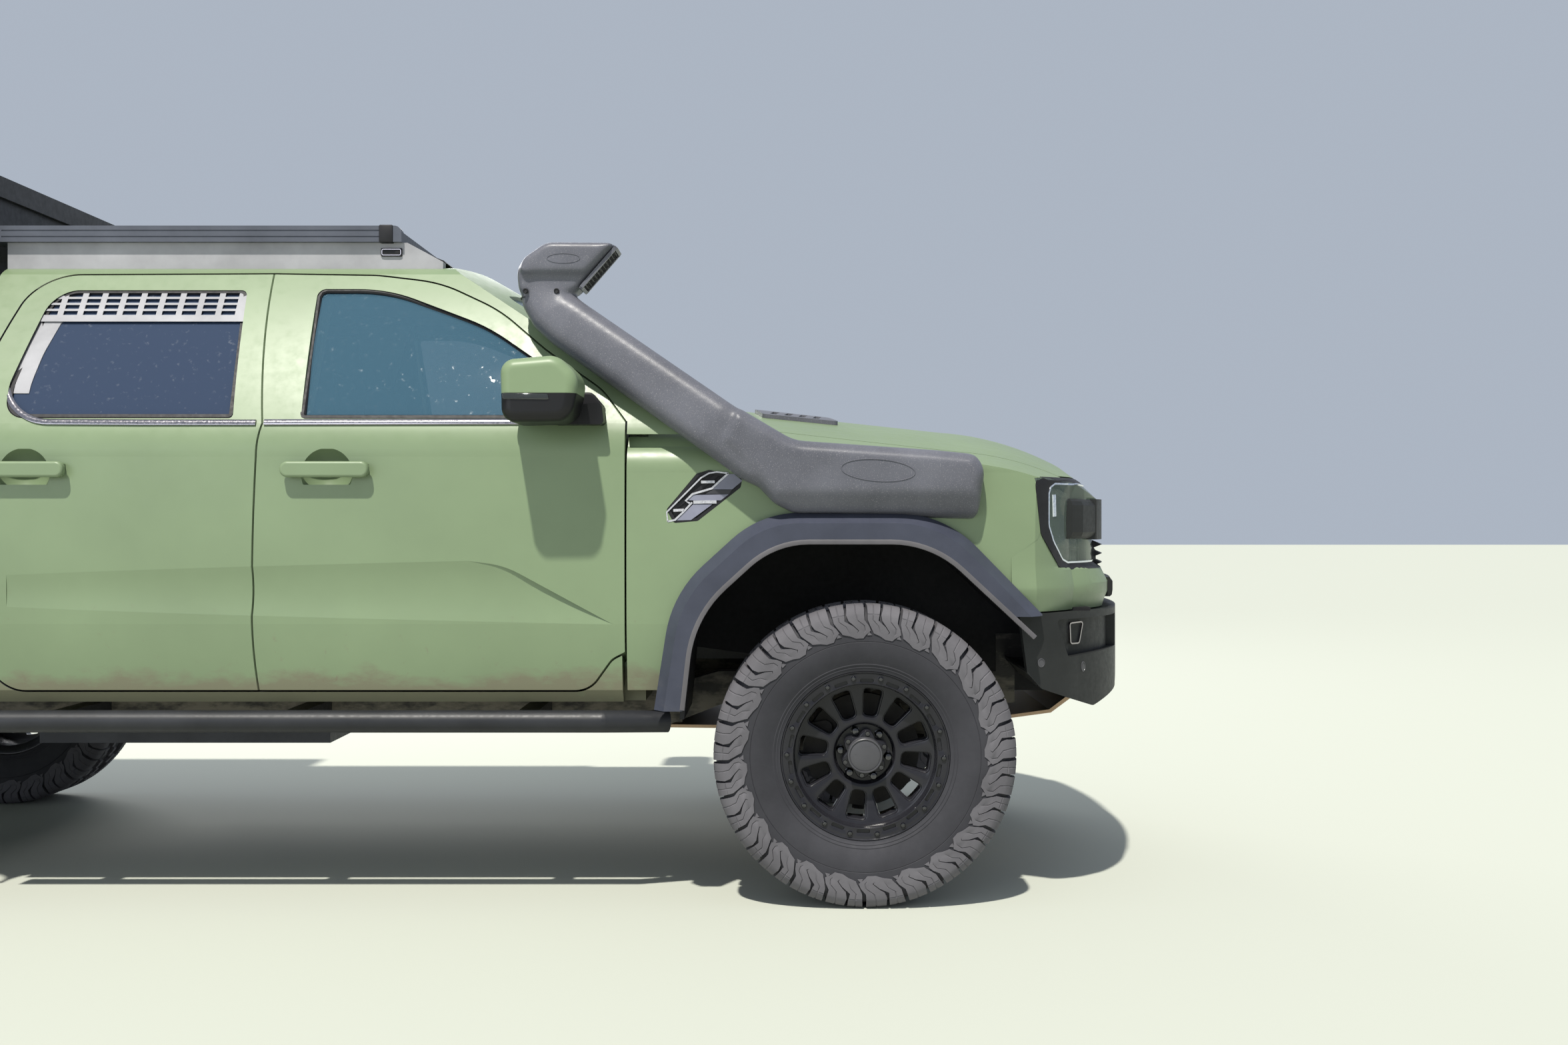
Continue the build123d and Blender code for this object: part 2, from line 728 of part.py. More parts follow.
bar_high_z = 1165.0
bar_half = 690.0
bar_front = front_body(-28, 0, 700)
bar_ends = (bar_front - front_body(-seat_gap, -30, 600)) & block(
    500, 1000, -bar_half, bar_half, bar_low_z, bar_high_z)
bar_middle = (bar_front - front_body(30, -30, 600)) & block(
    500, 1000, -grille_half + seat_gap, grille_half - seat_gap, bar_low_z, bar_high_z)
grille = grille + bar_middle + bar_ends


# Lower bumper
def lower_bumper_solid(inset):
    side_face = ring_of([
        (447, 832), (470, 660), (513, 613, 20), (690, 548, 20), (front_overhang - 55, 590, 40),
        (front_overhang - 30, 700, 80), (front_overhang + 10, 832),
    ] if not inset else [
        (300, 900), (300, 700), (525, 613 + inset), (690, 560 + inset), (front_overhang - 55 - inset, 600 + inset),
        (front_overhang - 30 - inset, 700), (front_overhang + 10 - inset, 900),
    ])
    plan = bowed([
        (front_overhang - 62 - inset, -520, 62),
        (front_overhang - 62 - inset, 520, 30),
        (nose_x - 215 - inset, 850 - inset, 25),
        (420, 955 - inset, 0),
        (200, 955 - inset, 0),
        (200, -955 + inset, 0),
        (420, -955 + inset, 25),
        (nose_x - 215 - inset, -850 + inset, 30),
    ])
    return from_side(side_face, -1200, 1200) & from_above(plan, 400, 1000)


bumper_wall = 45.0
front_bumper = lower_bumper_solid(0) - lower_bumper_solid(bumper_wall)
fog_cut = from_side(ring_of([(600, 700, 10), (760, 712, 10), (1000, 712), (1000, 812), (560, 812, 10)]), 560, 1000)
front_bumper = front_bumper - (fog_cut & (lower_bumper_solid(-5) - lower_bumper_solid(26)))
front_bumper = front_bumper - across(fog_cut & (lower_bumper_solid(-5) - lower_bumper_solid(26)))
front_bumper = front_bumper - block(600, 1000, -420, 420, 640, 790)

# Wheel arch flares
flare_stand = 1014.0 - side_half


def flare(rows_out, rows_in, low_out):
    """Arch band that tapers outwards, seated on the body's side."""
    outer_face = arch_face(rows_out, low_out)
    solid = from_side(outer_face, 925, side_half + flare_stand)
    rim_edges = solid.faces().sort_by(Axis.Y)[-1].edges()
    rim_edges = ShapeList([edge for edge in rim_edges if edge.center().Z > low_out + 40])
    solid = chamfer(rim_edges, 44, 30)
    return solid - from_side(arch_face(rows_in, 200), 800, 1200)


front_flare = flare(arch_outer, arch_inner, 556)
front_flare = front_flare & block(-800, 514, 0, 1200, 552, 1300)
front_flare = front_flare - block(420, 800, 0, 1200, 400, 826)
front_flare = front_flare - front_skin - front_bumper

# Rear bed
def bed_section(inset):
    rows = [
        (sill_half + 20 - inset, 640, 0),
        (side_half - inset, swage_z, side_bow),
        (side_half - inset, shoulder_z, shoulder_bow),
        (belt_half - inset, bed_rail_z, 0),
    ]
    return bowed(mirrored_rows(rows))


rear_arch_outer = [
    (rear_axle - 612, 640), (rear_axle - 560, 890, 340), (rear_axle - 290, 1123, 290),
    (rear_axle + 290, 1123, 290), (rear_axle + 560, 890, 340), (rear_axle + 612, 640),
]
rear_arch_inner = [
    (rear_axle - 532, 600), (rear_axle - 497, 830, 330), (rear_axle - 252, 1044, 260),
    (rear_axle + 252, 1044, 260), (rear_axle + 497, 830, 330), (rear_axle + 532, 600),
]
rear_well = arch_face([(row[0], row[1] + 18, *row[2:]) for row in rear_arch_inner], 300)

bed_skin = from_front(bed_section(0), bed_rear_x, bed_front_x)
bed_tub = block(bed_rear_x - 10, bed_front_x - bed_wall, -side_half + bed_wall, side_half - bed_wall,
                bed_floor_z, 1500)
tub_under = block(bed_rear_x - 10, bed_front_x + 10, -side_half + bed_wall, side_half - bed_wall, 400,
                  bed_floor_z - bed_floor)
tailgate_low_z = bed_floor_z - 20
load_bed = bed_skin - bed_tub - tub_under
for side in (-1, 1):
    load_bed = load_bed - from_side(rear_well, side * 600, side * 1100)
    inner_well = from_side(
        arch_face([(rear_axle - 500, 600), (rear_axle - 420, 1000, 300), (rear_axle + 420, 1000, 300),
                   (rear_axle + 500, 600)], 300), side * 620, side * (side_half - bed_wall + 1))
    house = from_side(
        arch_face([(rear_axle - 530, 600), (rear_axle - 450, 1030, 300), (rear_axle + 450, 1030, 300),
                   (rear_axle + 530, 600)], bed_floor_z - bed_floor), side * 600, side * (side_half - bed_wall))
    house = house & block(-5000, 0, -1000, 1000, bed_floor_z - bed_floor, 1200)
    load_bed = load_bed + house - inner_well
rear_flare = flare(rear_arch_outer, rear_arch_inner, 640)
rear_flare = rear_flare & block(-5000, -2000, 0, 1200, 636, 1300)
rear_flare = rear_flare - bed_skin
rear_flare = rear_flare & block(-5000, bed_front_x - 40, 0, 1200, 0, 1300)

corner_post = 136.0
tailgate_half = side_half - corner_post - moving_gap
tailgate = block(bed_rear_x, bed_rear_x + tailgate_thickness, -tailgate_half, tailgate_half, tailgate_low_z + 30,
                 bed_rail_z - 10)
tailgate = tailgate + from_side(
    Pos(bed_rear_x + tailgate_thickness / 2, tailgate_low_z + 30) * Circle(tailgate_thickness / 2).face(),
    -tailgate_half, tailgate_half)
load_bed = load_bed - block(bed_rear_x - 20, bed_rear_x + tailgate_thickness + moving_gap, -side_half + bed_wall,
                            side_half - bed_wall, 300, 1500)
post = block(bed_rear_x + 0.5, bed_rear_x + tailgate_thickness + 30, side_half - corner_post,
             side_half - bed_wall + 1, bed_floor_z - bed_floor, bed_rail_z)
load_bed = load_bed + post + across(post)
tail_pin = from_side(Pos(bed_rear_x + tailgate_thickness / 2, tailgate_low_z + 30) * Circle(12).face(),
                     tailgate_half - 40, side_half - 20)
tail_pin_bore = from_side(Pos(bed_rear_x + tailgate_thickness / 2, tailgate_low_z + 30) * Circle(12 + seat_gap).face(),
                          tailgate_half - 41, tailgate_half + 20)
for one_pin in (tail_pin, across(tail_pin)):
    load_bed = load_bed + one_pin
for one_bore in (tail_pin_bore, across(tail_pin_bore)):
    tailgate = tailgate - one_bore

tail_lamp = block(bed_rear_x - 26, bed_rear_x - seat_gap, side_half - 130, side_half - 6, 1000, 1340)

# Rear bumper with the tow receiver
rear_bumper = from_side(ring_of([
    (bed_rear_x - 90, 600, 20), (bed_rear_x - seat_gap, 600, 10), (bed_rear_x - seat_gap, 770),
    (bed_rear_x - 90, 770, 20),
]), -900, 900)
receiver_half = 25.4
receiver_x = -wheelbase - rear_overhang
receiver_z = 558.0
receiver_wall = 12.6
receiver_depth = 200.0
receiver_front_x = -4200.0
receiver_out = receiver_half + receiver_wall
receiver = block(receiver_x, receiver_front_x, -receiver_out, receiver_out, receiver_z - receiver_out,
                 receiver_z + receiver_out)
receiver = receiver - block(receiver_x - 5, receiver_x + receiver_depth, -receiver_half, receiver_half,
                            receiver_z - receiver_half, receiver_z + receiver_half)
rear_bumper = rear_bumper + receiver + block(bed_rear_x - 70, bed_rear_x - seat_gap, -60, 60, 590, 620)
rear_bumper = rear_bumper + block(-4290, -4230, -60, 60, 590, 620 - seat_gap)


# Canopy
def canopy_section(inset, low):
    return ring_of([
        (-canopy_base_half + inset, low), (canopy_base_half - inset, low),
        (canopy_top_half - inset, canopy_top_z - canopy_slab - inset * 0.8, 40),
        (-canopy_top_half + inset, canopy_top_z - canopy_slab - inset * 0.8, 40),
    ])


canopy_rear_x = bed_rear_x + 20
canopy_outer = from_front(canopy_section(0, bed_rail_z + seat_gap), canopy_rear_x, canopy_front_x)
canopy_hollow = from_front(canopy_section(canopy_wall, bed_rail_z - 50), canopy_rear_x - 5, canopy_front_x - canopy_wall)
canopy_roof = from_above(ring_of([
    (canopy_rear_x - 10, -canopy_top_half - canopy_overhang, 30),
    (canopy_front_x + canopy_overhang, -canopy_top_half - canopy_overhang, 30),
    (canopy_front_x + canopy_overhang, canopy_top_half + canopy_overhang, 30),
    (canopy_rear_x - 10, canopy_top_half + canopy_overhang, 30),
]), canopy_top_z - canopy_slab - 6, canopy_top_z)
canopy = (canopy_outer - canopy_hollow) + canopy_roof
canopy_window_rows = [
    (canopy_rear_x + 190, 1500, 40), (canopy_front_x - 170, 1500, 40),
    (canopy_front_x - 230, 1960, 60), (canopy_rear_x + 210, 1960, 60),
]
canopy_window = from_side(ring_of(canopy_window_rows), -1100, 1100)
canopy = canopy - canopy_window
canopy_layer = from_front(canopy_section(12, 1400), canopy_rear_x, canopy_front_x) - from_front(
    canopy_section(17, 1390), canopy_rear_x - 5, canopy_front_x + 5)
canopy_glass = canopy_layer & from_side(offset(ring_of(canopy_window_rows), amount=-0.2,
                                               kind=Kind.INTERSECTION).face(), -1100, 1100)
canopy_glass = canopy_glass - block(-5000, 0, -500, 500, 1000, 2300)

hatch_thickness = 34.0
hatch_top_z = canopy_top_z - canopy_slab - 40
hatch_face = ring_of([
    (-canopy_base_half + 4, bed_rail_z + moving_gap), (canopy_base_half - 4, bed_rail_z + moving_gap),
    (canopy_top_half + 10, hatch_top_z, 20), (-canopy_top_half - 10, hatch_top_z, 20),
])
canopy_hatch = from_front(hatch_face, canopy_rear_x - moving_gap - hatch_thickness, canopy_rear_x - moving_gap)
hatch_pane = ring_of([(-700, 1520, 40), (700, 1520, 40), (600, 1980, 50), (-600, 1980, 50)])
canopy_hatch = canopy_hatch - from_front(hatch_pane, canopy_rear_x - 100, canopy_rear_x)
hatch_glass = from_front(offset(hatch_pane, amount=-0.2, kind=Kind.INTERSECTION).face(),
                         canopy_rear_x - moving_gap - 20, canopy_rear_x - moving_gap - 14)
hatch_hinge_x = canopy_rear_x - moving_gap - hatch_thickness
hatch_hinge_z = hatch_top_z
hinge_pin_radius = 6.0
hinge_running_gap = 0.08
hinge_barrel_radius = 11.0
hinge_middle = 450.0
hinge_barrel_half = 18.0
hinge_ear = 8.0
hinge_spot = Pos(hatch_hinge_x, hatch_hinge_z)
barrel_from = hinge_middle - hinge_barrel_half
barrel_to = hinge_middle + hinge_barrel_half
ear_from = barrel_from - hinge_ear - 1
ear_to = barrel_to + hinge_ear + 1
ear_face = ring_of([
    (hatch_hinge_x - 12, hatch_hinge_z - 10, 6), (hatch_hinge_x + 12, hatch_hinge_z - 10, 4),
    (hatch_hinge_x + 12, hatch_hinge_z + 6), (canopy_rear_x + 5, hatch_hinge_z + 6),
    (canopy_rear_x + 5, hatch_hinge_z + 38), (hatch_hinge_x + 6, hatch_hinge_z + 38, 8),
    (hatch_hinge_x - 12, hatch_hinge_z + 12, 8),
])
hinge_ears = from_side(ear_face, ear_from, ear_from + hinge_ear) + from_side(ear_face, ear_to - hinge_ear, ear_to)
hinge_ears = hinge_ears + from_side(hinge_spot * Circle(hinge_pin_radius).face(), ear_from, ear_to)
hinge_relief = from_side(hinge_spot * Circle(22).face(), ear_from - moving_gap, ear_to + moving_gap)
hinge_barrel = from_side(hinge_spot * Circle(hinge_barrel_radius).face(), barrel_from, barrel_to)
hinge_barrel = hinge_barrel + block(hatch_hinge_x, hatch_hinge_x + 20, barrel_from, barrel_to, hatch_hinge_z - 30,
                                    hatch_hinge_z)
hinge_bore = from_side(hinge_spot * Circle(hinge_pin_radius + hinge_running_gap).face(), barrel_from - 1,
                       barrel_to + 1)
canopy = canopy + hinge_ears + across(hinge_ears)
canopy_hatch = canopy_hatch - hinge_relief - across(hinge_relief)
canopy_hatch = canopy_hatch + hinge_barrel + across(hinge_barrel) - hinge_bore - across(hinge_bore)

# Roof rack
rack_front_x = -1415.0
rack_rear_x = -2690.0
rack_half = 620.0
rack_top_z = 2011.0
rack_rail_height = 50.0
rack_rail_width = 34.0
rack_rail = block(rack_rear_x, rack_front_x, rack_half - rack_rail_width, rack_half, rack_top_z - rack_rail_height,
                  rack_top_z)
rail_groove = 2.5
for groove_z in (rack_top_z - 15, rack_top_z - 34):
    rack_rail = rack_rail - block(rack_rear_x - 1, rack_front_x - 30, rack_half - rail_groove, rack_half + 1,
                                  groove_z - 2, groove_z + 2)
rack_rail = fillet(rack_rail.edges().filter_by(Axis.Y).group_by(Axis.X)[-1].sort_by(Axis.Z)[-1], 22)
rack = rack_rail + across(rack_rail)
rack = rack + block(rack_front_x - 60, rack_front_x - 24, -rack_half + 10, rack_half - 10,
                    rack_top_z - rack_rail_height, rack_top_z)
rack = rack + block(rack_rear_x, rack_rear_x + 40, -rack_half, rack_half, rack_top_z - rack_rail_height, rack_top_z)
slat_count = 7
slat_width = 62.0
for index in range(slat_count):
    x = rack_rear_x + 40 + (index + 1) * (rack_front_x - rack_rear_x - 80) / (slat_count + 1)
    rack = rack + block(x - slat_width / 2, x + slat_width / 2, -rack_half + 20, rack_half - 20,
                        rack_top_z - 26, rack_top_z - 2)
foot_rail_in = 560.0
foot_rail = block(-2640, -1290, foot_rail_in, foot_rail_in + 40, 1860, rack_top_z - rack_rail_height) - cab_skin
foot_rail = foot_rail & from_side(ring_of([
    (-2640, 1860), (-1290, 1860), (-1290, 1902), (-1400, rack_top_z - rack_rail_height),
    (-2640, rack_top_z - rack_rail_height),
]), 500, 700)
rack_feet = foot_rail
deflector = from_side(ring_of([
    (rack_front_x, 1905), (-1290, 1905), (-1296, 1912), (rack_front_x - 6, rack_top_z - rack_rail_height),
    (rack_front_x - 12, rack_top_z - rack_rail_height),
]), -foot_rail_in + seat_gap, foot_rail_in - seat_gap) - cab_skin

# Snorkel
snorkel_out = 1036.0
snorkel_body = from_side(ring_of([
    (-250, 1150, 60), (-205, 1124, 30), (250, 1108, 30), (318, 1100, 16), (341, 1250, 45), (318, 1290, 40),
    (200, 1303, 60), (-200, 1336, 60), (-330, 1392, 60), (-420, 1290),
]), -side_half + 30, -snorkel_out)
snorkel_body = fillet(snorkel_body.faces().sort_by(Axis.Y)[0].edges(), 26)


def duct_section(x, y, z, tangent, wide, deep):
    plane = Plane(origin=(x, y, z), x_dir=(0, 1, 0), z_dir=tangent)
    return plane.location * RectangleRounded(deep, wide, min(deep, wide) * 0.36).face()


tube_dir = Vector(-316, 0, 235).normalized()
tube = loft([
    duct_section(-300, -982, 1262, tube_dir, 150, 96),
    duct_section(-872, -846, 1684, tube_dir, 152, 112),
], ruled=True)
bend = loft([
    duct_section(-872, -846, 1684, tube_dir, 152, 112),
    duct_section(-936, -812, 1760, (-0.1, 0.1, 1), 160, 124),
], ruled=True)
head = from_side(ring_of([
    (-1012, 1762, 20), (-846, 1762, 16), (-716, 1912, 10), (-930, 1918, 50), (-1022, 1850, 50),
]), -882, -736)
head = fillet(head.faces().sort_by(Axis.Y)[0].edges(), 22)
mouth_low = Vector(-846, 0, 1762)
mouth_high = Vector(-716, 0, 1912)
mouth_run = mouth_high - mouth_low
mouth_centre = (mouth_low + mouth_high) * 0.5
mouth_plane = Plane(origin=(mouth_centre.X, -809, mouth_centre.Z), x_dir=(0, 1, 0),
                    z_dir=(mouth_run.Z, 0, -mouth_run.X))
mouth_depth = 14.0
mouth = mouth_plane * Pos(0, -4, -mouth_depth / 2 + 1) * Box(112, mouth_run.length - 40, mouth_depth + 2)
mouth_bars = []
for index in range(-3, 4):
    mouth_bars.append(mouth_plane * Pos(0, -4 + index * 19, -mouth_depth / 2 - 2) * Box(116, 5, mouth_depth - 4))
for index in range(-2, 3):
    mouth_bars.append(mouth_plane * Pos(index * 20, -4, -mouth_depth / 2 - 2) * Box(5, mouth_run.length - 36, mouth_depth - 4))
for bar in mouth_bars:
    mouth = mouth - bar
head = head - mouth
joint_ring = Pos(-934, -811, 1752) * extrude(RectangleRounded(170, 134, 44).face(), amount=14)
snorkel = snorkel_body + tube + bend + head + joint_ring
snorkel = snorkel - front_skin - cab_outer(-8) - across(front_flare) - across(fender_vent)

# Sliders beside the sills
slider_radius = 32.5
slider_z = 517.0
slider_y = 925.0
slider_rear_x = -2650.0
slider_front_x = -760.0
slider = rod((slider_rear_x, slider_y, slider_z), (slider_front_x, slider_y, slider_z), slider_radius)
slider = slider + Pos(slider_front_x, slider_y, slider_z) * Sphere(slider_radius)
slider = slider + rod((slider_front_x, slider_y, slider_z), (-575, slider_y - 70, slider_z - 8), slider_radius)
rail_out = 470.0
for x in (-1000, -1700, -2400):
    slider = slider + block(x - 30, x + 30, rail_out + seat_gap, slider_y, 490, 530)

# Ladder frame
frame_in = 400.0
bumper_can_x = 760.0
plate_seat_z = 450.0
engine_half = 230.0
bed_seat_z = bed_floor_z - bed_floor - seat_gap
frame_rail_rows = [
    (bed_rear_x, 600), (-3900, 600), (-3650, 690), (-2950, 690), (-2740, 450), (-600, 450), (-420, 520), (500, 520),
    (500, 620), (-440, 620), (-650, 560), (-2700, 560), (-2930, bed_seat_z), (-3700, bed_seat_z), (-3920, 720),
    (bed_rear_x, 720),
]
rail_beam = from_side(ring_of(frame_rail_rows), frame_in, rail_out)
chassis = rail_beam + across(rail_beam)
for x_low, x_high, z_low, z_high in (
    (420, 490, 540, 600), (-620, -560, plate_seat_z, 515), (-1000, -920, 516, 558), (-1800, -1720, 516, 558),
    (-2600, -2520, 516, 558), (-3700, -3640, 700, 780), (-4300, -4220, 620, 700),
):
    chassis = chassis + block(x_low, x_high, -frame_in - 5, frame_in + 5, z_low, z_high)
for side in (-1, 1):
    chassis = chassis + block(440, 500, side * frame_in, side * rail_out, 600, 740)
    chassis = chassis + block(-4320, -4240, side * frame_in, side * rail_out, 715, bed_seat_z)
    chassis = chassis + block(440, bumper_can_x, side * frame_in, side * rail_out, 665, 740)
    chassis = chassis + block(-300, -200, side * (engine_half + seat_gap), side * (frame_in + 5), 580, 690)
chassis = chassis - front_bumper

skid_plate = from_side(ring_of([
    (700, 600), (700, 530), (630, 478), (200, 420), (-620, 430), (-620, 440), (200, 430), (624, 488), (688, 536),
    (688, 600),
]), -380, 380)
skid_plate = skid_plate + block(-612, -572, -300, 300, 432, plate_seat_z - seat_gap)
skid_plate = skid_plate - Pos(0, 0, -seat_gap) * lower_bumper_solid(0)

# Engine, tank and exhaust
engine = block(-560, 120, -engine_half, engine_half, 640, 1180)
fuel_tank = block(-2640, -1700, -380, -120, 380, 516 - seat_gap)
exhaust_radius = 32.0
exhaust_z = 516 - seat_gap - exhaust_radius
exhaust_front_x = -640.0
exhaust_rear_x = -2850.0
exhaust_y = 250.0
silencer_radius = 78.0
exhaust = rod((exhaust_front_x, exhaust_y, exhaust_z), (exhaust_rear_x, exhaust_y, exhaust_z), exhaust_radius)
exhaust = exhaust + rod((-2480, exhaust_y, exhaust_z - 20), (-1900, exhaust_y, exhaust_z - 20), silencer_radius)

# Cab furniture
dashboard_front_x = firewall_x - firewall_wall - seat_gap
dashboard = from_side(ring_of([
    (dashboard_front_x, 1000, 20), (dashboard_front_x, 1330, 10), (-760, 1350, 40), (-960, 1330, 60),
    (-1020, 1240, 60), (-930, 1010, 40),
]), -800, 800)
wheel_plane = Plane(origin=(-1130, 370, 1270), z_dir=(-0.9, 0, 0.42))
steering_wheel = wheel_plane.location * Torus(185, 16)
steering_wheel = steering_wheel + wheel_plane.location * Cylinder(62, 40)
for spoke_angle in (0, 90, 180):
    spoke = Rot(0, 0, spoke_angle) * (Pos(110, 0, 0) * Box(140, 36, 18))
    steering_wheel = steering_wheel + wheel_plane.location * spoke
column = rod((-1120, 370, 1266), (-960, 370, 1190), 38)
dashboard = dashboard + steering_wheel + column


def seat(x, y, wide, high):
    cushion = from_side(ring_of([(x, 760, 20), (x + 480, 760, 50), (x + 500, 910, 60), (x, 880, 30)]),
                        y - wide / 2, y + wide / 2)
    back = from_side(ring_of([
        (x - 30, 780, 40), (x + 90, 800, 30), (x - 60, high, 50), (x - 190, high, 50),
    ]), y - wide / 2 + 20, y + wide / 2 - 20)
    rest = from_side(ring_of([
        (x - 190, high - 4, 10), (x - 80, high - 4, 10), (x - 90, high + 160, 45), (x - 200, high + 160, 45),
    ]), y - 130, y + 130)
    base = block(x + 40, x + 420, y - wide / 2 + 60, y + wide / 2 - 60, floor_z, 765)
    return cushion + back + rest + base


seats = seat(-1560, 370, 520, 1420) + seat(-1560, -370, 520, 1420) + seat(-2330, 0, 1280, 1400)

# Tyre: a many-sided carcass whose alternate facets carry shoulder lugs
tyre_sides = 48
seat_radius = 222.0
lug_width = 62.0
carcass_rows = [
    # across the tyre, radius
    (156.0, 335.0),
    (150.0, 392.0),
    (122.0, 426.0),
]
bead_rows = [
    # across the tyre, radius of the hollow beside the rim's flange
    (116.0, 247.0),
    (138.0, 256.0),
    (160.0, 352.0),
]


def tyre_polygon(y, radius):
    """Flat-sided ring outline, a facet straight down."""
    corner = radius / cos(pi / tyre_sides)
    points = [
        (corner * cos(2 * pi * (i + 0.5) / tyre_sides - pi / 2), corner * sin(2 * pi * (i + 0.5) / tyre_sides - pi / 2))
        for i in range(tyre_sides)
    ]
    return Pos(0, y, 0) * (Plane.XZ.location * Face(Wire(Polyline(*points, close=True).edges())))


def tyre():
    stations = [(-row[0], row[1]) for row in carcass_rows] + [(row[0], row[1]) for row in reversed(carcass_rows)]
    solid = None
    for here, there in zip(stations, stations[1:]):
        piece = loft([tyre_polygon(*here), tyre_polygon(*there)], ruled=True)
        solid = piece if solid is None else solid + piece
    for here, there in zip(bead_rows, bead_rows[1:]):
        hollow = loft([tyre_polygon(*here), tyre_polygon(*there)], ruled=True)
        solid = solid - hollow - across(hollow)
    lug_profile = ring_of([(70, 415), (70, tyre_radius), (130, tyre_radius), (155, 396), (tyre_width / 2, 372),
                           (150, 372)])
    facet = 2 * pi * tyre_radius / tyre_sides
    lugs = []
    for index in range(0, tyre_sides, 2):
        lug = extrude(Plane.YZ.location * lug_profile, amount=facet * 0.34, both=True)
        for flip in (False, True):
            one = across(lug) if flip else lug
            turned = Rot(0, 360 * (index + (1 if flip else 0)) / tyre_sides, 0) * one
            lugs.append(turned)
    solid = solid + lugs
    return solid - from_side(Circle(seat_radius).face(), -200, 200)


# Rim: barrel with flanges, a dished face with windows, hub boss and outer ring
rim_half = 126.0
rim_flange_radius = 242.0
barrel_radius = seat_radius - seat_gap
barrel_wall = 12.0
face_y = 60.0
window_count = 12
window_turn = 8.0
ring_slot_count = 18
ring_slot_turn = 1.3
ring_slot_depth = 7.0


def rim():
    """Rim with its face towards +Y."""
    barrel = ring_of([
        (barrel_radius - barrel_wall, -rim_half), (rim_flange_radius, -rim_half), (rim_flange_radius, -rim_half + 7),
        (barrel_radius, -rim_half + 7.6), (barrel_radius, rim_half - 7.6), (rim_flange_radius, rim_half - 7),
        (rim_flange_radius, rim_half + 8), (208, rim_half + 8), (206, rim_half - 20),
        (barrel_radius - barrel_wall, rim_half - 40),
    ])
    solid = revolve(Plane.XY.location * barrel, axis=Axis.Y, revolution_arc=360)
    disc = ring_of([
        (0, 50), (40, 50), (80, 50), (84, 74), (130, 84), (barrel_radius - barrel_wall + 2, 92),
        (barrel_radius - barrel_wall + 2, 64), (130, 56), (96, 30), (78, face_y - 60 + seat_gap),
        (0, face_y - 60 + seat_gap),
    ])
    solid = solid + revolve(Plane.XY.location * disc, axis=Axis.Y, revolution_arc=360)
    pocket_profile = ring_of([(104, -27, 10), (198, -35, 12), (198, 35, 12), (104, 27, 10)])
    for index in range(window_count):
        angle = 360 * index / window_count - 90 - window_turn
        pocket = from_side(pocket_profile, 0, 110)
        solid = solid - Rot(0, angle, 0) * pocket
    slot_profile = ring_of([(210.5, -19, 4), (221, -19, 4), (221, 19, 4), (210.5, 19, 4)])
    ring_top = rim_half + 8
    for index in range(ring_slot_count):
        angle = 360 * index / ring_slot_count - 90 - ring_slot_turn
        slot = from_side(slot_profile, ring_top - ring_slot_depth, ring_top + 10)
        solid = solid - Rot(0, angle, 0) * slot
    bore = from_side(Circle(39).face(), -20, 120)
    solid = solid - bore
    for index in range(6):
        angle = radians(60 * index)
        solid = solid - from_side(Pos(69.85 * cos(angle), 69.85 * sin(angle)) * Circle(8).face(), -20, 120)
    return solid


# Knuckle: upright, hub flange and brake disc, drawn for the left side with the wheel centre at the origin
kingpin_y = -85.0
disc_radius = 166.0
hub_flange_radius = 76.0
upright_high = 150.0
upright_low = 140.0


def knuckle():
    hub = from_side(Circle(hub_flange_radius).face(), -16, 0) + from_side(Circle(38).face(), -60, 34)
    disc = from_side(Circle(disc_radius).face(), -44, -16)
    upright = from_side(ring_of([
        (-30, -upright_low, 20), (30, -upright_low, 20), (60, 0, 40), (30, upright_high, 20),
        (-30, upright_high, 20), (-60, 0, 40),
    ]), -110, -50)
    caliper = from_side(ring_of([
        (-150, -80, 20), (-100, -90, 20), (-90, 90, 20), (-150, 80, 20), (-180, 0, 40),
    ]), -78, 0)
    caliper = caliper - from_side(Circle(disc_radius + 3).face(), -47, -13)
    link = block(-110, -40, -78, -52, -40, 40)
    return hub + disc + upright + caliper + link


wheel_y = track / 2
rim_left = rim()
tyre_left = tyre()
knuckle_left = knuckle()

# Front suspension arms end in cups on the kingpin line
arm_in = rail_out + seat_gap
kingpin_abs = wheel_y + kingpin_y
bush_radius = 24.0
arm_rows = [
    # height of the ball end's middle, its height, height at the frame, half spread there, bar radius
    (hub_z + upright_high + seat_gap + 22, 44.0, 590.0, 110.0, 15.0),
    (hub_z - upright_low - seat_gap - 22, 44.0, 400.0, 180.0, 15.0),
]
arms = None
for ball_z, ball_height, inner_z, spread, bar_radius in arm_rows:
    arm = Pos(0, kingpin_abs, ball_z) * Cylinder(30, ball_height)
    inner_end_z = ball_z - 10 if inner_z < hub_z + 100 else ball_z
    for side in (-1, 1):
        arm = arm + rod((side * spread, arm_in + bush_radius, inner_z), (0, kingpin_abs, inner_end_z), bar_radius)
        arm = arm + (Pos(side * spread, arm_in + bush_radius, inner_z) * Rot(0, 90, 0) * Cylinder(bush_radius, 60))
    arms = arm if arms is None else arms + arm
for side in (-1, 1):
    for spread_sign in (-1, 1):
        chassis = chassis + block(spread_sign * 140, spread_sign * 220, side * frame_in, side * rail_out, 370, 530)
suspension = arms + across(arms)

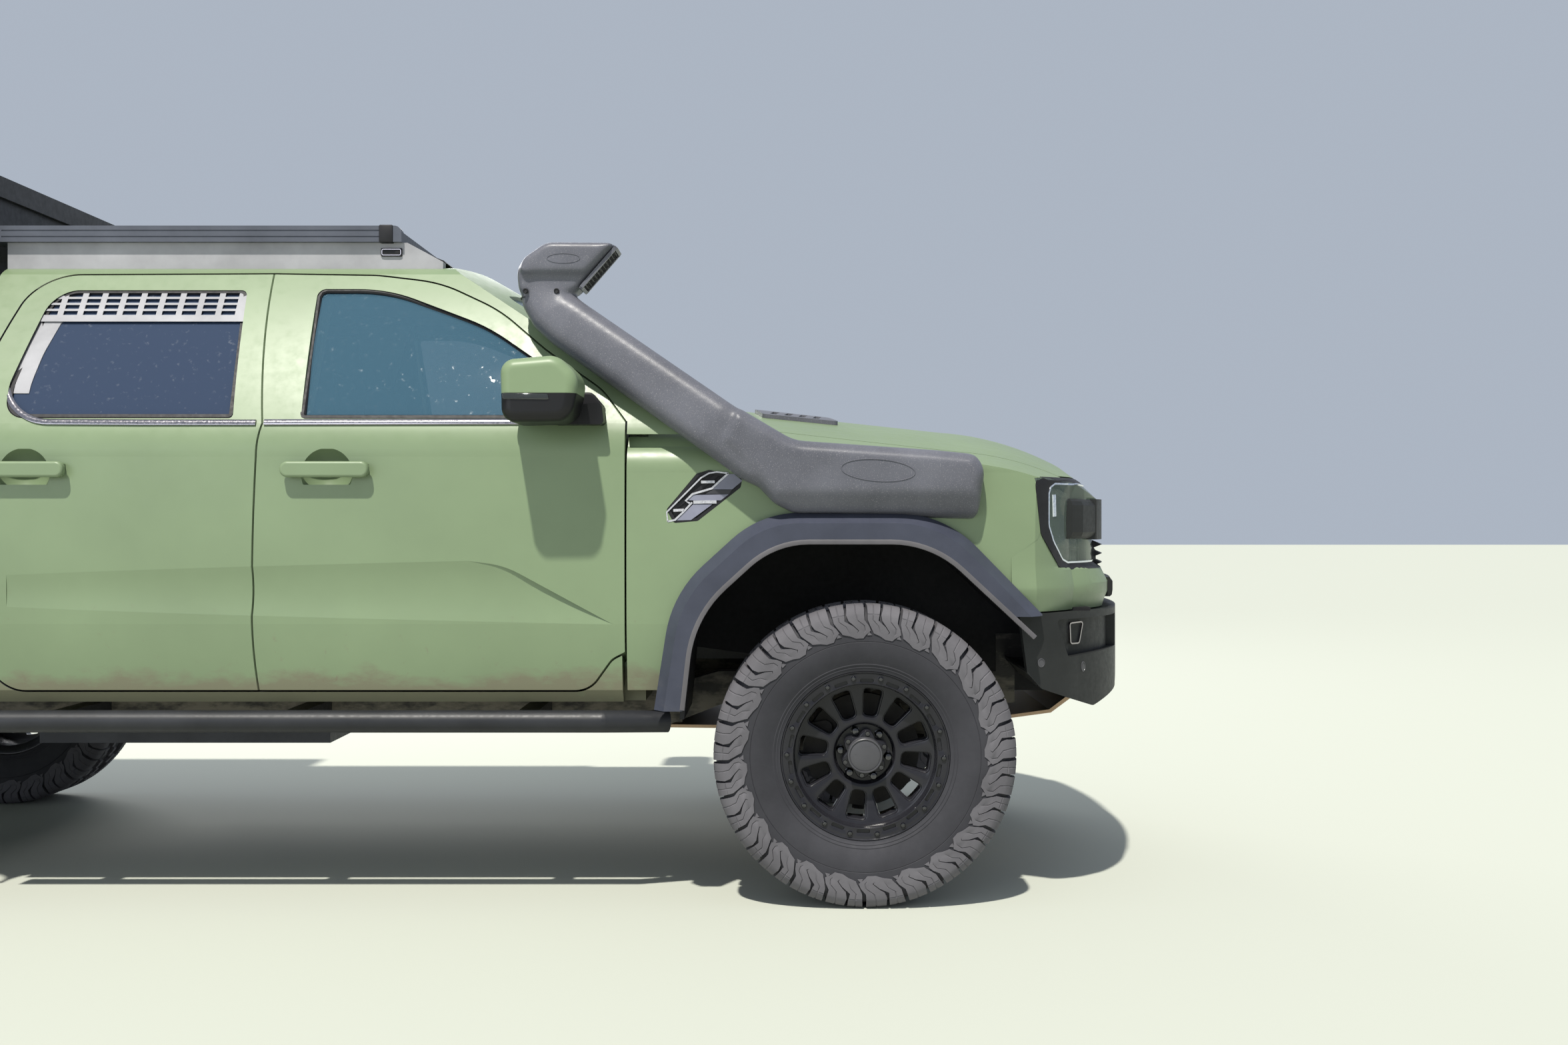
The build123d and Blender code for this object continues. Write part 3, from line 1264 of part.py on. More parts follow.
# Rear axle
axle_tube_radius = 46.0
rear_hub = wheel_y - 2
axle = rod((rear_axle, -rear_hub + 20, hub_z), (rear_axle, rear_hub - 20, hub_z), axle_tube_radius)
axle = axle + Pos(rear_axle, 60, hub_z) * Sphere(150)
hub_rows = [
    # radius, where it starts and ends across from the wheel's middle
    (disc_radius, -44.0, -16.0),
    (hub_flange_radius, -16.0, 0.0),
    (38.0, -16.0, 34.0),
]
for side in (-1, 1):
    for radius, y_in, y_out in hub_rows:
        face = Pos(rear_axle, hub_z) * Circle(radius).face()
        axle = axle + from_side(face, side * (wheel_y + y_in), side * (wheel_y + y_out))
    axle = axle + block(rear_axle - 50, rear_axle + 50, side * 405, side * 465, hub_z + 30, 690 - seat_gap)
propshaft = rod((rear_axle + 140, 60, hub_z + 20), (-1000, 60, 470), 38)
axle = axle + propshaft

# Inner arches
liner_rows = [(row[0] * 1.02, row[1] + 18 - seat_gap, *row[2:]) for row in arch_inner]
liner = from_side(arch_face(liner_rows, 480), rail_out + 20, side_half - panel - 4)
liner = liner - from_side(arch_face([(row[0] * 0.995, row[1] + 6, *row[2:]) for row in arch_inner], 400), 300, 1100)
liner = liner & block(-700, 520, 0, 1200, 520, 1300)
liner = liner - block(440, 600, 0, 1200, 300, 836)

# Write every piece
wheel_front = [
    # side name, sign of Y
    ("left", 1),
    ("right", -1),
]
pieces = {
    "cab_shell": cab_shell,
    "windscreen": windscreen,
    "rear_screen": rear_screen,
    "fenders": fender_left + across(fender_left),
    "bonnet": bonnet,
    "upper_bumper": upper_bumper,
    "fender_vents": fender_vent + across(fender_vent),
    "bonnet_vents": bonnet_vent + across(bonnet_vent),
    "headlamps": lamp_left + across(lamp_left),
    "grille": grille,
    "front_bumper": front_bumper,
    "wheel_flares": front_flare + rear_flare + across(front_flare) + across(rear_flare),
    "front_door_right": front_door_right,
    "front_door_left": across(front_door_right),
    "rear_door_right": rear_door_right,
    "rear_door_left": across(rear_door_right),
    "front_glass_right": front_glass_right,
    "front_glass_left": across(front_glass_right),
    "rear_glass_right": rear_glass_right,
    "rear_glass_left": across(rear_glass_right),
    "quarter_vent_right": quarter_vent_right,
    "quarter_vent_left": across(quarter_vent_right),
    "mirror_right": mirror_right,
    "mirror_left": across(mirror_right),
    "load_bed": load_bed,
    "tailgate": tailgate,
    "tail_lamps": tail_lamp + across(tail_lamp),
    "rear_bumper": rear_bumper,
    "canopy": canopy,
    "canopy_glass": canopy_glass,
    "canopy_hatch": canopy_hatch,
    "hatch_glass": hatch_glass,
    "roof_rack": rack,
    "rack_feet": rack_feet + across(rack_feet),
    "rack_deflector": deflector,
    "snorkel": snorkel,
    "rock_sliders": slider + across(slider),
    "chassis": chassis,
    "skid_plate": skid_plate,
    "engine": engine,
    "fuel_tank": fuel_tank,
    "exhaust": exhaust,
    "dashboard": dashboard,
    "seats": seats,
    "suspension": suspension,
    "rear_axle": axle,
    "arch_liners": liner + across(liner),
}
for node, shape in pieces.items():
    save(node, shape)

for side_name, sign in wheel_front:
    for axle_name, axle_x in (("front", 0.0), ("rear", rear_axle)):
        place = Pos(front_axle_x + axle_x, sign * wheel_y, hub_z + body_lift)
        turned = Rot(0, 0, 0 if sign > 0 else 180)
        save(f"rim_{axle_name}_{side_name}", turned * rim_left, place)
        save(f"tyre_{axle_name}_{side_name}", turned * tyre_left, place)
    place = Pos(front_axle_x, sign * wheel_y, hub_z + body_lift)
    save(f"knuckle_{side_name}", knuckle_left if sign > 0 else across(knuckle_left), place)
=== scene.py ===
import json
from math import atan2, cos, pi, radians, sin

import bmesh
import bpy
from mathutils import Matrix, Vector
from mathutils.bvhtree import BVHTree


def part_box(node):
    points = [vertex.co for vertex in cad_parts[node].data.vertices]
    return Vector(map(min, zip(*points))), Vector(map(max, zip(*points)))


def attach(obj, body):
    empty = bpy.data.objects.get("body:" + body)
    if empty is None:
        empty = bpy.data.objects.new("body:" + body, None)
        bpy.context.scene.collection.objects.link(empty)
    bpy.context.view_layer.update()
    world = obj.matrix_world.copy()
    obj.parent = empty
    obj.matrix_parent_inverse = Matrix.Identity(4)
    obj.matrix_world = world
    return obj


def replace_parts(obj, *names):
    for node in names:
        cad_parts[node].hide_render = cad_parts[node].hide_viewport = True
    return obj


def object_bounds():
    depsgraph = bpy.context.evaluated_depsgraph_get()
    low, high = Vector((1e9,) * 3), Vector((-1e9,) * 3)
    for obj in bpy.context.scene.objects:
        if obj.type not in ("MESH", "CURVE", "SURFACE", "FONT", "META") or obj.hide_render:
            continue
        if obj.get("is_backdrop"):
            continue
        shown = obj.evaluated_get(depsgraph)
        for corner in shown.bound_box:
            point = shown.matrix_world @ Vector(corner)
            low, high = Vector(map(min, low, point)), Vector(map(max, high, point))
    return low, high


# Lifted double-cab off-road pickup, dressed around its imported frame.
# Points are given in millimetres from the front axle, the middle plane and the ground line.
# at() turns them into the frame's metres.

MM = 0.001
weld = 0.00002
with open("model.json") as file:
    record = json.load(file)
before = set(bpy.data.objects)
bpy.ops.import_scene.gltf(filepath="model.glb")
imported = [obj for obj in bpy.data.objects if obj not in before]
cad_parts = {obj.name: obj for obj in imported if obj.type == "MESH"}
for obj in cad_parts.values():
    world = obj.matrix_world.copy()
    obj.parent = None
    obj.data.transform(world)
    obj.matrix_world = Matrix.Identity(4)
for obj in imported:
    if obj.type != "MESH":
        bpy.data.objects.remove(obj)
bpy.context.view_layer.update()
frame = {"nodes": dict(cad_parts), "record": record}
nodes = frame["nodes"]


def hub_of(wheel):
    """Place of a wheel's centre along and up."""
    low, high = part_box(f"rim_{wheel}")
    return (low.x + high.x) / 2, (low.z + high.z) / 2


loaded_radius = 425
wheel_y = 0.855
front_axle, hub_height = hub_of("front_right")
rear_axle = (hub_of("rear_right")[0] - front_axle) * 1000
ground = hub_height - loaded_radius / 1000


def at(x, y, z):
    return Vector((front_axle + x * MM, y * MM, ground + z * MM))


def in_mm(point):
    """The reverse of at()."""
    return (point.x - front_axle) / MM, point.y / MM, (point.z - ground) / MM


# Mesh tools

class Shape:
    """Points, faces and material marks gathered for one piece, in metres."""

    def __init__(self):
        self.points = []
        self.faces = []
        self.marks = []

    def add(self, points, faces, marks=0):
        """Take in points and faces, with one mark for all of them or a list of marks."""
        start = len(self.points)
        self.points += [Vector(point) for point in points]
        self.faces += [tuple(start + index for index in face) for face in faces]
        self.marks += marks if isinstance(marks, list) else [marks] * len(faces)
        return self

    def join(self, other, move=None):
        points = [move @ point for point in other.points] if move else other.points
        return self.add(points, other.faces, other.marks)

    def mirrored(self):
        points = [(point.x, -point.y, point.z) for point in self.points]
        return Shape().add(points, [face[::-1] for face in self.faces], self.marks)

    def mesh(self, name, looks):
        """Blender mesh with the materials that looks names, one for each mark."""
        made = bpy.data.meshes.new(name)
        made.from_pydata([tuple(point) for point in self.points], [], self.faces)
        for look in looks.split():
            made.materials.append(materials[look])
        made.polygons.foreach_set("material_index", self.marks)
        made.polygons.foreach_set("use_smooth", [True] * len(self.faces))
        clean = bmesh.new()
        clean.from_mesh(made)
        bmesh.ops.remove_doubles(clean, verts=clean.verts, dist=weld)
        bmesh.ops.recalc_face_normals(clean, faces=clean.faces)
        clean.to_mesh(made)
        clean.free()
        return made


def modify(thing, kind, **settings):
    modifier = thing.modifiers.new(kind.lower(), kind)
    for key, value in settings.items():
        setattr(modifier, key, value)


def in_scene(name, data):
    made = bpy.data.objects.new(name, data)
    bpy.context.scene.collection.objects.link(made)
    return made


def place(name, mesh, slot="black_plastic", body="root", smooth=35, bevel=0, location=(0, 0, 0), turn=0):
    """Put a mesh in the scene as a piece that rides on a body."""
    made = in_scene(name, mesh)
    made.location = location
    made.rotation_euler = (0, 0, turn)
    if bevel:
        modify(made, "BEVEL", width=bevel, segments=2, limit_method="ANGLE", angle_limit=radians(40))
    if smooth:
        modify(made, "EDGE_SPLIT", split_angle=radians(smooth))
    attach(made, body)
    return made


def piece(name, shape, looks, *where, **more):
    return place(name, shape.mesh(name, looks), *where, **more)


def both_sides(name, shape, looks, slot="black_plastic", body="root", **more):
    """The piece on the right and its mirror image on the left; {} in the body's name is the side."""
    piece(f"{name}_right", shape, looks, slot, body.format("right"), **more)
    piece(f"{name}_left", shape.mirrored(), looks, slot, body.format("left"), **more)


def skin(loops, closed=True, cap_start=False, cap_end=False, mark=0):
    """Faces between loops that hold equally many points."""
    count = len(loops[0])
    points = [point for loop in loops for point in loop]
    faces = []
    for row in range(len(loops) - 1):
        for column in range(count if closed else count - 1):
            near = row * count + column
            far = row * count + (column + 1) % count
            faces.append((near, far, far + count, near + count))
    if cap_start:
        faces.append(tuple(reversed(range(count))))
    if cap_end:
        faces.append(tuple(range((len(loops) - 1) * count, len(loops) * count)))
    return Shape().add(points, faces, mark)


def polar(radius, angle, across):
    """Point of a wheel: angle in degrees clockwise from the top, seen from its outer side at +Y."""
    turn = radians(angle)
    return Vector((-radius * sin(turn), across, radius * cos(turn))) * MM


def lathe(rows, steps, mark=0, cap_end=False):
    """Rows of across and radius turned about the wheel's axis."""
    loops = [[polar(radius, 360 * step / steps, across) for step in range(steps)] for across, radius in rows]
    return skin(loops, mark=mark, cap_end=cap_end)


def circle(count):
    """Cosine and sine all the way round."""
    return [(cos(2 * pi * part / count), sin(2 * pi * part / count)) for part in range(count)]


def post(radius, angle, rows, steps=12, mark=0):
    """Small turned post that stands on a wheel's face, from rows of across and its own radius."""
    middle = polar(radius, angle, 0)
    loops = [[middle + Vector((own * right, across, own * up)) * MM for right, up in circle(steps)]
             for across, own in rows]
    return skin(loops, cap_end=True, mark=mark)


def cornered(rows, closed=True, step=14):
    """Points across and up along an outline whose corner rows hold a radius as their third value."""
    points = []
    count = len(rows)
    for index, row in enumerate(rows):
        corner = Vector(row[:2])
        radius = row[2] if len(row) > 2 else 0
        if not radius or (not closed and index in (0, count - 1)):
            points.append(corner)
            continue
        back = (Vector(rows[index - 1][:2]) - corner).normalized()
        ahead = (Vector(rows[(index + 1) % count][:2]) - corner).normalized()
        half = back.angle(ahead) / 2
        middle = corner + (back + ahead).normalized() * (radius / sin(half))
        first = corner + back * (radius * cos(half) / sin(half)) - middle
        sweep_angle = (pi - 2 * half) * (1 if first.cross(-back) > 0 else -1)
        parts = max(2, int(abs(sweep_angle) * radius / step))
        for part in range(parts + 1):
            points.append(middle + Matrix.Rotation(sweep_angle * part / parts, 2) @ first)
    return points


def strip(path, profile, closed=False):
    """Profile of sideways and outward millimetres carried along a path of points and outward directions."""
    count = len(path)
    loops = []
    for index, (point, outward) in enumerate(path):
        ahead = path[(index + 1) % count][0] if closed or index + 1 < count else point
        behind = path[index - 1][0] if closed or index else point
        sideways = (ahead - behind).normalized().cross(outward).normalized()
        loops.append([point + sideways * (across * MM) + outward * (out * MM) for across, out in profile])
    if closed:
        loops.append([point.copy() for point in loops[0]])
    return skin(loops, cap_start=not closed, cap_end=not closed)


def bar(half, foot, top_half, top):
    """Profile of a flat-topped bar for strip()."""
    return [(-half, foot), (half, foot), (top_half, top), (-top_half, top)]


def side_path(points, y):
    """Path for strip() along points of x and z on a plane that faces the vehicle's right."""
    return [(at(point.x, y, point.y), Vector((0, -1, 0))) for point in points]


def moved_left(outline, distance):
    """Closed outline moved to the left of its own direction."""
    moved = []
    for index, point in enumerate(outline):
        along = (outline[(index + 1) % len(outline)] - outline[index - 1]).normalized()
        moved.append(point + Vector((-along.y, along.x)) * distance)
    return moved


def prism(outline, levels, mark=0):
    """Closed solid from an outline of x and z, with rows of y and how far the outline is drawn in there."""
    loops = [[at(point.x, y, point.y) for point in moved_left(outline, inward)] for y, inward in levels]
    return skin(loops, cap_start=True, cap_end=True, mark=mark)


def box_shape(low, high):
    """Plain box between two corners in millimetres."""
    return prism([Vector((low[0], low[2])), Vector((high[0], low[2])), Vector((high[0], high[2])),
                  Vector((low[0], high[2]))], [(low[1], 0), (high[1], 0)])


def steps(first, last, parts):
    """Even steps from the first value to the last, with both."""
    return [first + (last - first) * part / parts for part in range(parts + 1)]


def tree_of(*meshes):
    """Search tree over the faces of meshes, to lay pieces on their skins."""
    whole = Shape()
    for mesh in meshes:
        whole.add([vertex.co for vertex in mesh.vertices], [face.vertices for face in mesh.polygons])
    return BVHTree.FromPolygons(whole.points, whole.faces)


def laid(tree, start, towards, out=0):
    """Where a ray first meets the skin, moved out of it, with the outward direction; None where it misses."""
    heading = (towards - start).normalized()
    point, normal, _, _ = tree.ray_cast(start, heading)
    if point is None:
        return None
    if normal.dot(heading) > 0:
        normal = -normal
    return point + normal * (out * MM), normal


def only_found(rays):
    return [found for found in rays if found]


# Looks

materials = {}
dirt_colour = (0.16, 0.135, 0.095)
dust_colour = (0.21, 0.19, 0.155)


class Look:
    """A material in the making, with short ways to add nodes to it."""

    def __init__(self, name):
        material = bpy.data.materials.new(name)
        material.use_nodes = True
        materials[name] = material
        self.tree = material.node_tree
        self.shader = self.tree.nodes["Principled BSDF"]

    def feed(self, target, values):
        """Link outputs to a node's inputs, and set plain values on the inputs themselves."""
        for key, value in values.items():
            if isinstance(value, bpy.types.NodeSocket):
                self.tree.links.new(value, target.inputs[key])
            else:
                target.inputs[key].default_value = value

    def add(self, kind, output, values, **settings):
        made = self.tree.nodes.new("ShaderNode" + kind)
        for key, value in settings.items():
            setattr(made, key, value)
        self.feed(made, values)
        return made.outputs[output]

    def where(self, scale=(1, 1, 1)):
        return self.add("Mapping", "Vector", {"Vector": self.add("TexCoord", "Object", {}), "Scale": scale})

    def height(self):
        return self.add("SeparateXYZ", "Z", {"Vector": self.add("TexCoord", "Object", {})})

    def noise(self, vector, scale, detail, rough):
        return self.add("TexNoise", "Fac", {
            "Vector": vector, "Scale": scale, "Detail": detail, "Roughness": rough})

    def spread(self, value, low, high, at_low=0, at_high=1):
        return self.add("MapRange", "Result", {
            "Value": value, "From Min": low, "From Max": high, "To Min": at_low, "To Max": at_high})

    def plus(self, first, second, operation="ADD"):
        return self.add("Math", "Value", {0: first, 1: second}, operation=operation, use_clamp=True)

    def times(self, first, second):
        return self.plus(first, second, "MULTIPLY")

    def mix(self, factor, *colours):
        first, second = ((*colour, 1) if isinstance(colour, tuple) else colour for colour in colours)
        return self.add("Mix", 2, {"Factor": factor, 6: first, 7: second}, data_type="RGBA")

    def ramp(self, value, low, first, high, second):
        colour = self.add("ValToRGB", "Color", {"Fac": value})
        for element, position, shade in zip(colour.node.color_ramp.elements, (low, high), (first, second)):
            element.position = position
            element.color = (*shade, 1)
        return colour

    def finish(self, height, strength, distance, values):
        """Set the shader's inputs, with a fine bump."""
        normal = self.add("Bump", "Normal", {"Height": height, "Strength": strength, "Distance": distance})
        self.feed(self.shader, {"Normal": normal, **values})


def dirt_mask(look, clean_z, dirty_z, scale=6, contrast=0.18):
    """1 low down and 0 high up, with a ragged upper edge."""
    rise = look.spread(look.height(), dirty_z, clean_z, 1, 0)
    ragged = look.noise(look.where((1, 1, 2.2)), scale, 8, 0.65)
    both = look.plus(rise, look.spread(ragged, 0.35, 0.65, -contrast * 1.6, contrast))
    return look.spread(both, 0.45, 0.8)


def painted(name, colour):
    """Body paint, a little cloudy, with specks of dust, and with a dirty film and splashes low down."""
    look = Look(name)
    where = look.where()
    dark = tuple(value * 0.86 for value in colour)
    base = look.ramp(look.noise(where, 2.6, 4, 0.55), 0.25, dark, 0.75, colour)
    base = look.mix(look.spread(look.noise(where, 420, 2, 0.6), 0.66, 0.8, 0, 0.28), base, dust_colour)
    film = dirt_mask(look, ground + 0.735, ground + 0.60)
    base = look.mix(look.times(film, 0.72), base, dirt_colour)
    splash_low = look.spread(look.height(), ground + 0.62, ground + 0.95, 1, 0)
    drops = look.spread(look.noise(look.where((1, 1, 0.7)), 34, 7, 0.75), 0.62, 0.68)
    drops = look.times(look.times(drops, splash_low), 0.6)
    rough = look.spread(look.noise(where, 30, 5, 0.6), 0.3, 0.7, 0.32, 0.43)
    look.finish(look.noise(where, 900, 2, 0.5), 0.05, 0.0004, {
        "Base Color": look.mix(drops, base, dirt_colour), "Specular IOR Level": 0.45,
        "Roughness": look.plus(rough, look.times(film, 0.35))})


def moulded(name, colour, roughness, grain, depth, dust=0, dusty_z=0.75, flecked=False):
    """Plastic, rubber or powder coat with a fine grain, and dust low down or light flecks where asked for."""
    look = Look(name)
    where = look.where()
    light = tuple(min(1, value * 1.5 + 0.004) for value in colour)
    base = look.ramp(look.noise(where, 5, 5, 0.6), 0.3, colour, 0.75, light)
    if flecked:
        flecks = look.spread(look.noise(where, 330, 2, 0.7), 0.58, 0.70, 0, 0.6)
        base = look.mix(flecks, base, (0.26, 0.25, 0.27))
    if dust:
        settled = dirt_mask(look, ground + dusty_z + 0.2, ground + dusty_z - 0.35, 9, 0.25)
        base = look.mix(look.times(settled, dust * 4), base, dust_colour)
    rough = look.spread(look.noise(where, 60, 4, 0.6), 0.3, 0.7, roughness - 0.06, roughness + 0.08)
    look.finish(look.noise(where, grain, 3, 0.6), 0.35, depth,
                {"Base Color": base, "Roughness": rough, "Specular IOR Level": 0.3})


def metal(name, colour, roughness, brushed=(1, 1, 1), amount=1):
    look = Look(name)
    grain = look.noise(look.where(brushed), 160, 5, 0.6)
    dark = tuple(value * 0.75 for value in colour)
    look.finish(grain, 0.15, 0.0003, {
        "Base Color": look.ramp(grain, 0.3, dark, 0.7, colour), "Metallic": amount,
        "Roughness": look.spread(grain, 0.3, 0.7, roughness - 0.07, roughness + 0.1)})


def glassy(name, colour, alpha, roughness=0.02):
    """Thin pane: tinted, with a sharp reflection and a little dust."""
    look = Look(name)
    specks = look.spread(look.noise(look.where(), 60, 8, 0.6), 0.60, 0.80, 0, 0.14)
    look.feed(look.shader, {
        "Base Color": look.mix(specks, colour, (0.55, 0.56, 0.55)), "Alpha": look.plus(specks, alpha),
        "Roughness": look.plus(specks, roughness), "IOR": 1.5, "Specular IOR Level": 0.6})


def two_tone(name, upper, lower, split_z):
    """Housing with a painted cap above a black lower shell, and a dark seam between them."""
    look = Look(name)
    rise = look.height()
    cap = look.spread(rise, split_z - 0.0005, split_z + 0.0005)
    seam = look.times(look.spread(rise, split_z - 0.002, split_z - 0.001),
                      look.spread(rise, split_z + 0.002, split_z + 0.001))
    look.finish(look.noise(look.where(), 900, 2, 0.5), 0.06, 0.0004, {
        "Base Color": look.mix(seam, look.mix(cap, lower, upper), (0.004, 0.004, 0.004)), "Roughness": 0.4,
        "Specular IOR Level": 0.35})


olive = (0.185, 0.250, 0.142)
mirror_split_z = 1452
painted("olive_paint", olive)
two_tone("mirror_shell", olive, (0.004, 0.004, 0.005), ground + mirror_split_z * MM)
for row in (
    # name, colour, roughness, fineness and depth of the grain, dust, height of the dust
    ("black_plastic", (0.034, 0.036, 0.045), 0.5, 700, 0.0006),
    ("black_powder_coat", (0.014, 0.015, 0.018), 0.42, 1200, 0.0003),
    ("frame_paint", (0.018, 0.017, 0.016), 0.6, 300, 0.0006, 0.12),
    ("rim_black", (0.011, 0.011, 0.014), 0.2, 1500, 0.00003),
    ("tyre_rubber", (0.024, 0.024, 0.029), 0.7, 500, 0.0008),
    ("tread_rubber", (0.086, 0.083, 0.092), 0.8, 420, 0.0008),
    ("cap_satin", (0.05, 0.05, 0.055), 0.32, 1500, 0.0001),
    # white coat for the metal_grey parts; on the rear window's edge sheet it is a painted reflection
    ("white_powder_coat_and_painted_reflection", (0.25, 0.25, 0.265), 0.6, 1500, 0.0001),
    ("cast_iron", (0.045, 0.042, 0.038), 0.7, 220, 0.001),
    ("cabin_plastic", (0.022, 0.022, 0.024), 0.6, 600, 0.0006),
    ("seat_cloth", (0.03, 0.03, 0.034), 0.85, 900, 0.001),
    ("speckled_shell", (0.080, 0.082, 0.098), 0.36, 420, 0.0008, 0, 0, True),
    ("flare_plastic", (0.036, 0.040, 0.058), 0.36, 900, 0.0003, 0.03, 0.62),
    ("flare_lip", (0.075, 0.072, 0.078), 0.5, 900, 0.0004, 0.05, 0.62),
    ("deep_black", (0.008, 0.008, 0.010), 0.5, 900, 0.0003),
    ("bumper_plastic", (0.011, 0.012, 0.012), 0.5, 700, 0.0006, 0.05, 0.5),
    ("vent_facet", (0.165, 0.17, 0.22), 0.35, 1500, 0.0001),
    # vent_shade is painted shade: a dark copy of vent_facet for a facet that lies as flat as the others
    ("vent_shade", (0.035, 0.036, 0.042), 0.35, 1500, 0.0001),
    # near-black rubber for seals, feet, joints and wipers; on the snorkel's mouth plate it is painted shade
    ("rubber_seal", (0.010, 0.010, 0.012), 0.55, 900, 0.0002),
    ("rack_rail", (0.060, 0.066, 0.084), 0.42, 900, 0.0004),
    # near-black plates that are painted shade: deep in the bay behind the arches and behind the gap between
    # the bumpers
    ("bay_painted_shade", (0.006, 0.006, 0.007), 0.8, 300, 0.0006),
    ("headlining", (0.26, 0.25, 0.23), 0.9, 900, 0.0006),
    ("bed_liner", (0.022, 0.022, 0.024), 0.65, 300, 0.0012),
):
    moulded(*row)
for row in (
    # name, colour, roughness, stretch of the grain, share of metal
    ("dark_chrome", (0.10, 0.10, 0.105), 0.14),
    ("warm_plate", (0.42, 0.30, 0.20), 0.38, (1, 12, 1)),
    ("engine_block", (0.16, 0.16, 0.16), 0.55, (1, 1, 1), 0.7),
    ("dull_steel", (0.36, 0.34, 0.31), 0.45),
    # on the belt trim this light pinkish metal is a painted reflection of the sky on glossy black trim
    ("belt_trim_painted_reflection", (0.46, 0.43, 0.45), 0.16),
    ("vent_silver", (0.62, 0.62, 0.66), 0.3, (1, 1, 1), 0.5),
    ("lamp_bead", (0.85, 0.90, 0.98), 0.12),
    ("mirror_glass", (0.75, 0.78, 0.80), 0.03),
):
    metal(*row)
glassy("clear_glass", (0.055, 0.13, 0.19), 0.52)
glassy("privacy_glass", (0.030, 0.046, 0.085), 0.93)
glassy("lamp_lens", (0.16, 0.21, 0.18), 0.42)
glassy("tail_lens", (0.30, 0.008, 0.006), 0.93, 0.08)
glassy("indicator_lens", (0.03, 0.035, 0.035), 0.85, 0.05)

slot_looks = {
    # slots whose look has another name
    "body_paint": "olive_paint", "black_paint": "black_powder_coat", "dark_glass": "privacy_glass",
    "lamp": "lamp_lens", "tail_red": "tail_lens", "tyre": "tyre_rubber", "metal_grey": "white_powder_coat_and_painted_reflection",
    "bronze_plate": "warm_plate", "cast": "cast_iron", "steel": "dull_steel",
}
node_looks = {
    # CAD nodes whose look differs from their slot's
    "wheel_flares": "flare_plastic", "front_bumper": "bumper_plastic", "mirror_right": "mirror_shell",
    "mirror_left": "mirror_shell", "fender_vents": "deep_black", "arch_liners": "deep_black",
    "grille": "bumper_plastic", "bonnet_vents": "speckled_shell", "rack_deflector": "deep_black",
    "roof_rack": "rack_rail",
}


def dress(mesh, look):
    """Give a mesh one look and smooth faces."""
    mesh.materials.clear()
    mesh.materials.append(materials[look])
    for face in mesh.polygons:
        face.use_smooth = True
    return mesh


for row in frame["record"]["subparts"]:
    thing = nodes[row["node"]]
    slot = row["material_slot"]
    dress(thing.data, node_looks.get(row["node"], slot_looks.get(slot, slot)))
    modify(thing, "EDGE_SPLIT", split_angle=radians(32))


# Inside faces of painted nodes get the cabin's, the headlining's or the load bed's look

def repaint(name, look, wanted):
    """Give a node's faces that wanted(centre, normal) picks another look; the centre is in millimetres."""
    mesh = nodes[name].data
    mesh.materials.append(materials[look])
    mark = len(mesh.materials) - 1
    for face in mesh.polygons:
        if wanted(Vector(in_mm(face.center)), face.normal):
            face.material_index = mark


cabin_middle = Vector((-1560, 0, 1150))
bed_middle = Vector((rear_axle - 250, 0, 1250))


def faces_cabin(middle, normal):
    turned_in = (cabin_middle - middle).normalized().dot(normal) > 0.2
    return turned_in and -2600 < middle.x < -560 and abs(middle.y) < 932


def faces_bed(middle, normal):
    turned_in = (bed_middle - middle).normalized().dot(normal) > 0.25
    in_tub = 700 < middle.z < 1378 and abs(middle.y) < 905
    on_wheel_house = abs(middle.x - rear_axle) < 545 and 600 < abs(middle.y) < 880 and middle.z > 880
    return on_wheel_house or (turned_in and in_tub)


for name in ("cab_shell", "front_door_right", "front_door_left", "rear_door_right", "rear_door_left"):
    repaint(name, "cabin_plastic", faces_cabin)
repaint("cab_shell", "headlining",
        lambda middle, normal: faces_cabin(middle, normal) and middle.z > 1600 and normal.z < -0.5)
repaint("load_bed", "bed_liner", faces_bed)

# Tyre, about the wheel's centre
pitches = 24
pitch_pattern = (0.93, 0.93, 1.05, 1.12, 1.05, 0.98, 0.98, 0.96)
wheel_steps = 144
carcass_rows = [
    # across from the middle plane, radius
    (0, 424), (62, 424), (112, 423), (128, 418), (139, 409.5), (146.5, 398.5), (150.5, 386.5), (152.6, 373.5),
    (153.4, 360), (153.6, 346), (153.5, 331.5), (152.2, 330), (153.4, 328.5), (153.4, 318), (152.2, 306),
    (149.6, 292), (145.4, 278), (140.6, 266), (141.4, 263.6), (140.4, 261.4), (137.6, 257), (138.2, 254.6),
    (136.6, 252), (134.8, 248), (134, 244.5), (126, 243), (117, 243), (117, 225),
]
lug_stations = [
    # across and radius of the lug's face, across and radius of its root
    (84, 436.4, 84, 422), (112, 436.2, 112, 421.5), (132, 432.5, 127, 417), (146, 422, 138, 409),
    (152.4, 410.5, 144.5, 401), (153.2, 408.5, 145.5, 399.5), (154, 406.5, 146.5, 398),
    (156.6, 392, 150, 387), (157, 376, 152, 375), (157.2, 362, 153, 362), (157, 355, 153.2, 355),
    (156.6, 347.5, 153.2, 347.5), (156, 339.5, 153, 339.5),
]
short_lug = [
    # share of the pitch at each station: left edge, sipe, right edge, depth of the sipe
    (0.02, 0.22, 0.42, 0), (0.03, 0.22, 0.42, 2.5), (0.045, 0.225, 0.41, 2.5), (0.05, 0.225, 0.41, 2.5),
    (0.06, 0.23, 0.40, 2.5), (0.06, 0.23, 0.40, 2.5), (0.06, 0.23, 0.40, 2.5), (0.065, 0.225, 0.385, 2.5),
    (0.14, 0.40, 0.62, 1.5), (0.225, 0.46, 0.765, 1.5), (0.26, 0.50, 0.72, 0), (0.50, 0.64, 0.78, 0),
    (0.685, 0.74, 0.80, 0),
]
